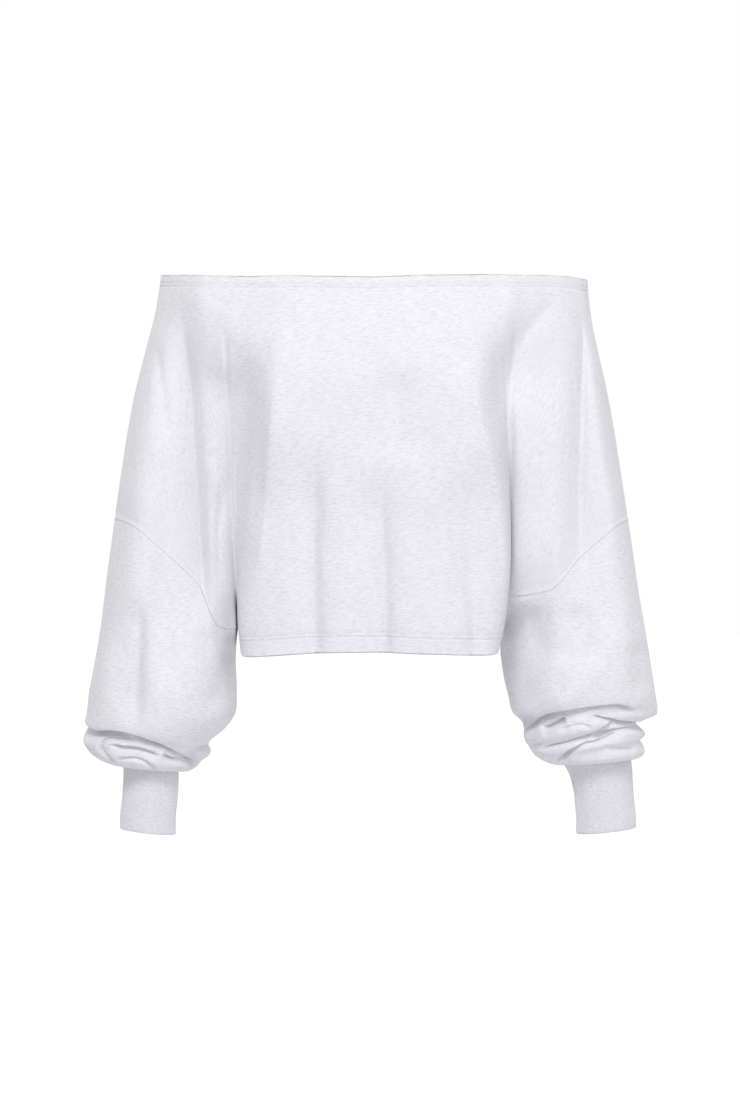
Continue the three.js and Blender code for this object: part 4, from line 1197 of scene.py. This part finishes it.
# %% [markdown]
# ## Stitches
#
# Each stitch is a short thread that dives into the cloth at both ends. The same small bead-like form is
# made again and again along a line laid on the cloth, turned to the line and to the cloth's facing. All
# the stitches of one kind of seam become a single mesh, which is far lighter than a thousand objects.

# %% Stitches along lines
STITCH_PITCH, STITCH_LENGTH, THREAD = 3.0, 2.5, 0.42
STITCH_RINGS, STITCH_SIDES = 6, 6
STITCH_BOW, STITCH_SINK = 0.75, 0.45  # in threads: its rise in the middle, its depth at both ends
STITCH_TIP = 0.35  # share of its thickness that a stitch keeps at its ends


def stitch_points(begin, arc, points, facings):
    """The rings of points of one stitch that starts at a distance along a line."""
    profile = np.linspace(0, math.pi, STITCH_RINGS)
    at = begin + STITCH_LENGTH * (0.5 - 0.5 * np.cos(profile))
    spine = np.column_stack([np.interp(at, arc, points[:, k]) for k in range(3)])
    up = unit(np.column_stack([np.interp(at, arc, facings[:, k]) for k in range(3)]))
    across = np.cross(unit(spine[-1] - spine[0]), up)
    bow = np.sin(profile)[:, None]
    spine = spine + up * (bow * STITCH_BOW - STITCH_SINK) * THREAD
    radius = THREAD * (STITCH_TIP + (1 - STITCH_TIP) * bow)
    turns = 2 * math.pi * np.arange(STITCH_SIDES) / STITCH_SIDES
    rounds = [spine + radius * (math.cos(turn) * across + math.sin(turn) * up) for turn in turns]
    return np.stack(rounds, 1).reshape(-1, 3)


def stitch_faces():
    """The faces of one stitch: the sides between its rings, and its two ends."""
    faces = []
    for row in range(0, (STITCH_RINGS - 1) * STITCH_SIDES, STITCH_SIDES):
        for n in range(STITCH_SIDES):
            m, below = (n + 1) % STITCH_SIDES, row + STITCH_SIDES
            faces.append([row + n, below + n, below + m, row + m])
    faces.append(list(range(STITCH_SIDES)))
    faces.append(list(reversed(range((STITCH_RINGS - 1) * STITCH_SIDES, STITCH_RINGS * STITCH_SIDES))))
    return faces


def stitch_lines_to_mesh(name, lines):
    """Joins the stitches of several lines of (points, facings) into one object."""
    stitches = []
    for points, facings in lines:
        arc = arc_along(points)
        starts = np.arange(0.5 * STITCH_PITCH, arc[-1] - STITCH_LENGTH, STITCH_PITCH)
        stitches += [stitch_points(begin, arc, points, facings) for begin in starts]
    size, one = STITCH_RINGS * STITCH_SIDES, stitch_faces()
    faces = [[size * n + corner for corner in face] for n in range(len(stitches)) for face in one]
    print(f"{name}: {len(stitches)} stitches")
    return add_mesh(name, np.concatenate(stitches), faces)


print("points of one stitch:", STITCH_RINGS * STITCH_SIDES)

# %% [markdown]
# The lines themselves are read off the panels: across them at a distance from the neck edge or the hem,
# and down them at a distance from a shoulder seam.

# %% Lay out the stitch lines
NEAR_SEAM = 20  # columns searched for a line beside an outer seam


def sampled(rows, place):
    """The value between two rows of a list, at a place counted in rows."""
    low = int(place)
    return blend(rows[low], rows[low + 1], place - low)


def row_line(grid, normals, panel, columns, distance, from_hem):
    """The points and facings of a line across a panel, at a distance from its neck edge or hem."""
    points, facings = [], []
    for j, (side, s) in enumerate(columns):
        if from_hem and s < CREASE:
            continue
        z = panel_heights(side, panel, s)
        if from_hem:
            at = z[-1] + distance * hem_height(side, s, z[-1]) / HEM_BAND
        else:
            at = z[0] - distance
        row = float(np.interp(-at, -z, np.arange(len(z))))
        points.append(sampled(grid[:, j], row))
        facings.append(sampled(normals[:, j], row))
    return np.array(points), np.array(facings)


def seam_line(grid, normals, distance, at_start, rows):
    """The points and facings of a line down a panel, at a distance from one of its outer seams."""
    points, facings = [], []
    for i in range(rows):
        line, facing = (grid[i], normals[i]) if at_start else (grid[i, ::-1], normals[i, ::-1])
        spot = float(np.interp(distance, arc_along(line[:NEAR_SEAM]), np.arange(NEAR_SEAM)))
        points.append(sampled(line, spot))
        facings.append(sampled(facing, spot))
    return np.array(points), np.array(facings)


PANEL_PARTS = (
    ("front", *front_surface, front_columns),
    ("back", *back_surface, back_columns),
)
neck_stitches = stitch_lines_to_mesh("neck_stitches", [
    row_line(grid, normals, panel, columns, distance, False)
    for panel, grid, normals, columns in PANEL_PARTS for distance in NECK_STITCHES
])
hem_stitches = stitch_lines_to_mesh("hem_stitches", [
    row_line(grid, normals, panel, columns, distance, True)
    for panel, grid, normals, columns in PANEL_PARTS for distance in HEM_STITCHES
])
seam_rows = len(panel_heights("left", "back", 0)) - 2
shoulder_stitches = stitch_lines_to_mesh("shoulder_stitches", [
    seam_line(*back_surface, distance, at_start, seam_rows)
    for at_start in (True, False) for distance in SHOULDER_STITCHES
])

# %% [markdown]
# ## Tools for shader nodes
#
# The yarn and the knit are drawn by shader nodes. Nodes can be wired by hand in the shader editor, but a
# script that does it stays readable only with a few short helpers: one for an empty node group with
# named sockets, one for a node with its settings, and two for the sums that nodes do.


# %% Helpers for nodes
def new_group(name, inputs, outputs):
    """An empty shader node group with the named input and output sockets."""
    group = bpy.data.node_groups.new(name, "ShaderNodeTree")
    for label, kind, value in inputs:
        socket = group.interface.new_socket(name=label, in_out="INPUT", socket_type=kind)
        if value is not None:
            socket.default_value = value
    for label, kind in outputs:
        group.interface.new_socket(name=label, in_out="OUTPUT", socket_type=kind)
    entry, leave = group.nodes.new("NodeGroupInput"), group.nodes.new("NodeGroupOutput")
    return group, entry.outputs, leave.inputs


def add_node(tree, kind, links=None, **settings):
    """A node with its settings, and with values or links on its inputs, by number or by name."""
    node = tree.nodes.new(kind)
    for key, value in settings.items():
        setattr(node, key, value)
    for socket, value in (links or {}).items():
        if isinstance(value, bpy.types.NodeSocket):
            tree.links.new(value, node.inputs[socket])
        else:
            node.inputs[socket].default_value = value
    return node


def calc(tree, operation, *values):
    """A Math node's result."""
    node = add_node(tree, "ShaderNodeMath", dict(enumerate(values)), operation=operation)
    return node.outputs[0]


def vector_calc(tree, operation, *values):
    """A Vector Math node's result."""
    node = add_node(tree, "ShaderNodeVectorMath", dict(enumerate(values)), operation=operation)
    return node.outputs[0]


sockets = new_group("Trial", [("Grain", "NodeSocketVector", None)], [("Height", "NodeSocketFloat")])
print("sockets of a group:", [item.name for item in sockets[0].interface.items_tree])
bpy.data.node_groups.remove(sockets[0])

# %% [markdown]
# ## Heather yarn and knit, as shader node groups
#
# White heather yarn is white cotton spun with a little grey. Knitted, the grey shows as short faint
# streaks along the courses. Jersey and rib share the effect, so it is a node group with its own inputs:
# how long and how thick the streaks are and how far they turn on the arms, where the cloth hangs on
# the slant. The group only puts out masks. Each material mixes its own colours with them.

# %% Heather fleck group
STREAK_LAYERS = ((1.0, 0.38, 0.72), (2.1, 0.32, 0.74))  # scale, and the noise from none to full
LONG_SHARE, FINE_SHARE = 0.6, 0.4
BODY_PLACE, ARM_PLACE = 3.7, 11.3  # where in the noise each set of streaks is read
BODY_SLANT = -0.14  # radians by which the streaks lean on the body
CLOUD_SCALE = 0.045  # per millimetre
fleck_group, given, result = new_group(
    "Heather flecks",
    [
        ("Grain", "NodeSocketVector", None),
        ("On Arm", "NodeSocketFloat", 0.0),
        ("Streak Length", "NodeSocketFloat", 7.0),
        ("Streak Thickness", "NodeSocketFloat", 1.2),
        ("Arm Turn", "NodeSocketFloat", 1.0),
    ],
    [("Flecks", "NodeSocketFloat"), ("Clouds", "NodeSocketFloat")],
)


def streaks(tree, place, offset):
    """Streaks along X of a place that is already scaled to streak sizes: long ones and finer ones."""
    layers = []
    for scale, low, high in STREAK_LAYERS:
        moved = vector_calc(tree, "ADD", place, (offset * scale, offset * scale, 0))
        noise = add_node(
            tree, "ShaderNodeTexNoise",
            {"Vector": moved, "Scale": scale, "Detail": 2.0, "Roughness": 0.65, "Distortion": 0.5},
            noise_dimensions="2D",
        )
        layers.append(add_node(
            tree, "ShaderNodeMapRange",
            {"Value": noise.outputs[0], "From Min": low, "From Max": high},
            interpolation_type="SMOOTHSTEP",
        ).outputs[0])
    fine = calc(tree, "MULTIPLY", layers[1], FINE_SHARE)
    return calc(tree, "MULTIPLY_ADD", layers[0], LONG_SHARE, fine)


size = add_node(fleck_group, "ShaderNodeCombineXYZ", {
    0: calc(fleck_group, "DIVIDE", 1.0, given["Streak Length"]),
    1: calc(fleck_group, "DIVIDE", 1.0, given["Streak Thickness"]),
    2: 1.0,
}).outputs[0]
tilted = add_node(
    fleck_group, "ShaderNodeVectorRotate",
    {"Vector": given["Grain"], "Angle": BODY_SLANT}, rotation_type="Z_AXIS",
).outputs[0]
level = streaks(fleck_group, vector_calc(fleck_group, "MULTIPLY", tilted, size), BODY_PLACE)
folded = vector_calc(fleck_group, "ABSOLUTE", given["Grain"])
turned = add_node(
    fleck_group, "ShaderNodeVectorRotate",
    {"Vector": folded, "Angle": given["Arm Turn"]}, rotation_type="Z_AXIS",
).outputs[0]
slanted = streaks(fleck_group, vector_calc(fleck_group, "MULTIPLY", turned, size), ARM_PLACE)
mixed = add_node(
    fleck_group, "ShaderNodeMix",
    {"Factor": given["On Arm"], "A": level, "B": slanted},
    data_type="FLOAT",
).outputs[0]
fleck_group.links.new(mixed, result["Flecks"])
clouds = add_node(
    fleck_group, "ShaderNodeTexNoise",
    {"Vector": given["Grain"], "Scale": CLOUD_SCALE, "Detail": 2.0}, noise_dimensions="2D",
).outputs[0]
fleck_group.links.new(clouds, result["Clouds"])
print("group:", fleck_group.name, [item.name for item in fleck_group.interface.items_tree])

# %% [markdown]
# The face of jersey is columns of small V stitches. Each V is about a millimetre, too fine for geometry
# on a whole garment, so it is a height for a Bump node: a rounded hump per column, cut by slanted
# waves that rise to both sides of its middle.

# %% Knit stitch group
V_SLANT = 1.6  # courses that a stitch's arms rise, for each width of a column
WAVE_SHARE, HUMP_ROUND = 0.35, 0.6  # how deep the courses cut, and how full a column's round is
knit_group, given, result = new_group(
    "Knit stitches",
    [
        ("Grain", "NodeSocketVector", None),
        ("Wale", "NodeSocketFloat", 1.15),
        ("Course", "NodeSocketFloat", 0.9),
    ],
    [("Height", "NodeSocketFloat")],
)
parts = add_node(knit_group, "ShaderNodeSeparateXYZ", {0: given["Grain"]}).outputs
column = calc(knit_group, "DIVIDE", parts[0], given["Wale"])
course = calc(knit_group, "DIVIDE", parts[1], given["Course"])
across_column = calc(knit_group, "SUBTRACT", calc(knit_group, "FRACT", column), 0.5)
off_middle = calc(knit_group, "ABSOLUTE", across_column)
hump = calc(knit_group, "SINE", calc(knit_group, "MULTIPLY", column, math.pi))
hump = calc(knit_group, "POWER", calc(knit_group, "ABSOLUTE", hump), HUMP_ROUND)
slant = calc(knit_group, "ADD", course, calc(knit_group, "MULTIPLY", off_middle, V_SLANT))
wave = calc(knit_group, "SINE", calc(knit_group, "MULTIPLY", slant, 2 * math.pi))
wave = calc(knit_group, "MULTIPLY_ADD", wave, WAVE_SHARE, 1 - WAVE_SHARE)
height = calc(knit_group, "MULTIPLY", hump, wave)
knit_group.links.new(height, result["Height"])
print("group:", knit_group.name, [item.name for item in knit_group.interface.items_tree])

# %% [markdown]
# ## Materials
#
# Jersey, rib and thread are one dye lot, so they differ only a little: the rib a shade greyer, the
# thread a shade cleaner. All are matt. A faint sheen on the shader's own socket stands for the fuzz
# that softens cotton at grazing angles.


# %% Cloth materials
ROUGHNESS, SPECULAR, SHEEN_ROUGHNESS = 0.92, 0.25, 0.5
CLOUD_SHARE = 0.06  # how much broad unevenness adds to the grey
STITCH_HEIGHT = 0.0003  # metres of relief in the knit


def cloth_material(name, white, grey, grey_share, streak, knit, bump, sheen):
    """A matt knitted cloth with heather flecks and stitch relief."""
    material = bpy.data.materials.new(name)
    material.use_nodes = True
    tree = material.node_tree
    shader = tree.nodes["Principled BSDF"]
    grain = add_node(tree, "ShaderNodeAttribute", attribute_name="grain").outputs["Vector"]
    on_arm = add_node(tree, "ShaderNodeAttribute", attribute_name="on_arm").outputs["Fac"]
    flecks = add_node(tree, "ShaderNodeGroup", node_tree=fleck_group)
    tree.links.new(grain, flecks.inputs["Grain"])
    tree.links.new(on_arm, flecks.inputs["On Arm"])
    flecks.inputs["Streak Length"].default_value = streak[0]
    flecks.inputs["Streak Thickness"].default_value = streak[1]
    amount = calc(tree, "MULTIPLY", flecks.outputs["Flecks"], grey_share)
    uneven = calc(tree, "MULTIPLY", flecks.outputs["Clouds"], CLOUD_SHARE)
    amount = calc(tree, "ADD", amount, uneven)
    colour = add_node(
        tree, "ShaderNodeMix", {"Factor": amount, "A": (*white, 1), "B": (*grey, 1)}, data_type="RGBA"
    )
    tree.links.new(colour.outputs["Result"], shader.inputs["Base Color"])
    stitches = add_node(tree, "ShaderNodeGroup", node_tree=knit_group)
    tree.links.new(grain, stitches.inputs["Grain"])
    stitches.inputs["Wale"].default_value = knit[0]
    stitches.inputs["Course"].default_value = knit[1]
    relief = add_node(
        tree, "ShaderNodeBump",
        {"Height": stitches.outputs["Height"], "Strength": bump, "Distance": STITCH_HEIGHT},
    )
    tree.links.new(relief.outputs["Normal"], shader.inputs["Normal"])
    shader.inputs["Roughness"].default_value = ROUGHNESS
    shader.inputs["Specular IOR Level"].default_value = SPECULAR
    shader.inputs["Sheen Weight"].default_value = sheen
    shader.inputs["Sheen Roughness"].default_value = SHEEN_ROUGHNESS
    return material


JERSEY_WHITE, JERSEY_GREY = (0.860, 0.850, 0.895), (0.50, 0.50, 0.55)
RIB_WHITE, RIB_GREY = (0.830, 0.810, 0.865), (0.47, 0.46, 0.51)
THREAD_WHITE, THREAD_GREY = (0.80, 0.79, 0.83), (0.7, 0.7, 0.73)
jersey = cloth_material(
    "White heather jersey", JERSEY_WHITE, JERSEY_GREY,
    grey_share=0.50, streak=(7.5, 1.3), knit=(1.15, 0.9), bump=0.35, sheen=0.12,
)
rib = cloth_material(
    "White heather rib", RIB_WHITE, RIB_GREY,
    grey_share=0.46, streak=(3.4, 2.0), knit=(0.8, 0.7), bump=0.4, sheen=0.10,
)
thread = cloth_material(
    "White sewing thread", THREAD_WHITE, THREAD_GREY,
    grey_share=0.2, streak=(3.0, 1.0), knit=(0.5, 0.4), bump=0.1, sheen=0.1,
)
for piece in (front_panel, back_panel, left_sleeve, right_sleeve):
    piece.data.materials.append(jersey)
for piece in (left_cuff, right_cuff):
    piece.data.materials.append(rib)
for piece in (neck_stitches, hem_stitches, shoulder_stitches):
    piece.data.materials.append(thread)
print("materials:", [m.name for m in (jersey, rib, thread)])

# %% [markdown]
# ## Which CAD node each piece stands for
#
# Each cloth replaces one CAD wall and rides on the garment's one body. The tables also list how large the
# part of it that shows would lie flat and whether it hangs or is gathered, but nothing reads those
# numbers.

# %% Ride and replace
SHEETS = (
    (front_panel, "front", (0.720, 0.400), 0.208, "hung"),
    (back_panel, "back", (0.740, 0.400), 0.212, "hung"),
    (left_sleeve, "left_sleeve", (0.465, 0.330), 0.102, "gathered"),
    (right_sleeve, "right_sleeve", (0.460, 0.305), 0.097, "gathered"),
)
CUFF_SHEETS = ((left_cuff, "left_cuff", (0.188, 0.068)), (right_cuff, "right_cuff", (0.172, 0.068)))
for piece, node, flat, area, held in SHEETS:
    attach(piece, "root")
    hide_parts(node)
for piece, node, flat in CUFF_SHEETS:
    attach(piece, "root")
    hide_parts(node)
for piece in (neck_stitches, hem_stitches, shoulder_stitches):
    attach(piece, "root")
print("dressed nodes:", [node for _, node, *_ in SHEETS + CUFF_SHEETS])

# %% [markdown]
# ## Studio
#
# White cloth on a white ground needs light from everywhere, and a little more from the front and
# above, so that folds still turn. The world gives the soft fill, large area lights do the modelling,
# and the pale floor lies well below, because the garment hangs as if it were worn.


# %% Floor
FLOOR_HEIGHT, FLOOR_RADIUS, FLOOR_SIDES = -1300, 40000, 96
FLOOR_GLOW = 0.68  # for the camera alone, so the ground looks white without lighting the cloth


def pale_floor():
    """A wide round floor, well below the hanging garment."""
    turns = 2 * math.pi * np.arange(FLOOR_SIDES) / FLOOR_SIDES
    ring = [(FLOOR_RADIUS * math.cos(t), FLOOR_RADIUS * math.sin(t), FLOOR_HEIGHT) for t in turns]
    floor = add_mesh("floor", ring, [list(range(FLOOR_SIDES))])
    paint = bpy.data.materials.new("Pale floor")
    paint.use_nodes = True
    tree = paint.node_tree
    shader = tree.nodes["Principled BSDF"]
    shader.inputs["Base Color"].default_value = (0.85, 0.85, 0.86, 1)
    shader.inputs["Roughness"].default_value = 0.9
    shader.inputs["Emission Color"].default_value = (1, 1, 1, 1)
    seen = add_node(tree, "ShaderNodeLightPath").outputs["Is Camera Ray"]
    tree.links.new(calc(tree, "MULTIPLY", seen, FLOOR_GLOW), shader.inputs["Emission Strength"])
    floor.data.materials.append(paint)
    return floor


floor = pale_floor()
print("floor height in metres:", round(floor.data.vertices[0].co.z, 3))

# %% [markdown]
# The key light stands high and in front, a weaker one fills from the side, and two more keep the back
# from going dark. The world looks brighter to the camera than it is to the cloth, so the ground is
# white and the folds keep their shade.

# %% Lights and world
MIDDLE = Vector((0, 0, -0.28))
LIGHTS = (  # name, place, diameter, watts
    ("key", (-0.4, -3.1, 2.5), 1.5, 88),
    ("fill", (2.4, -2.7, 0.8), 2.2, 20),
    ("back left", (2.4, 3.0, 1.8), 2.0, 40),
    ("back right", (-2.4, 3.0, 1.8), 2.0, 40),
)
WORLD_LIGHT, WORLD_SEEN = 0.50, 1.0
for name, place, diameter, watts in LIGHTS:
    light = bpy.data.lights.new(name, "AREA")
    light.shape = "DISK"
    light.size = diameter
    light.energy = watts
    lamp = bpy.data.objects.new(name, light)
    lamp.location = place
    lamp.rotation_euler = (MIDDLE - Vector(place)).to_track_quat("-Z", "Y").to_euler()
    bpy.context.collection.objects.link(lamp)

scene = bpy.context.scene
world = bpy.data.worlds.new("Studio")
world.use_nodes = True
scene.world = world
nodes, links = world.node_tree.nodes, world.node_tree.links
soft = nodes["Background"]
seen = nodes.new("ShaderNodeBackground")
choose = nodes.new("ShaderNodeMixShader")
for ground, strength in ((soft, WORLD_LIGHT), (seen, WORLD_SEEN)):
    ground.inputs["Color"].default_value = (1, 1, 1, 1)
    ground.inputs["Strength"].default_value = strength
links.new(nodes.new("ShaderNodeLightPath").outputs["Is Camera Ray"], choose.inputs[0])
links.new(soft.outputs[0], choose.inputs[1])
links.new(seen.outputs[0], choose.inputs[2])
links.new(choose.outputs[0], nodes["World Output"].inputs[0])
scene.view_settings.view_transform = "Standard"

# %% [markdown]
# ## Camera
#
# A product photograph like this one is taken level, from a few metres away with a long lens, so the
# garment keeps its shape. The lens follows from the frame's height at the garment and the distance.

# %% Place the camera
CAMERA_DISTANCE, FRAME_HEIGHT = 3.5, 1.110
CAMERA_OUT, CAMERA_HEIGHT = -0.004, -0.279
SENSOR_WIDTH = 36
camera_data = bpy.data.cameras.new("camera")
camera_data.sensor_width = SENSOR_WIDTH
camera_data.lens = SENSOR_WIDTH * CAMERA_DISTANCE / FRAME_HEIGHT
camera = bpy.data.objects.new("camera", camera_data)
camera.location = (CAMERA_OUT, -CAMERA_DISTANCE, CAMERA_HEIGHT)
camera.rotation_euler = (math.pi / 2, 0, 0)
bpy.context.collection.objects.link(camera)
scene.camera = camera
print("lens:", round(camera_data.lens, 1), "mm")
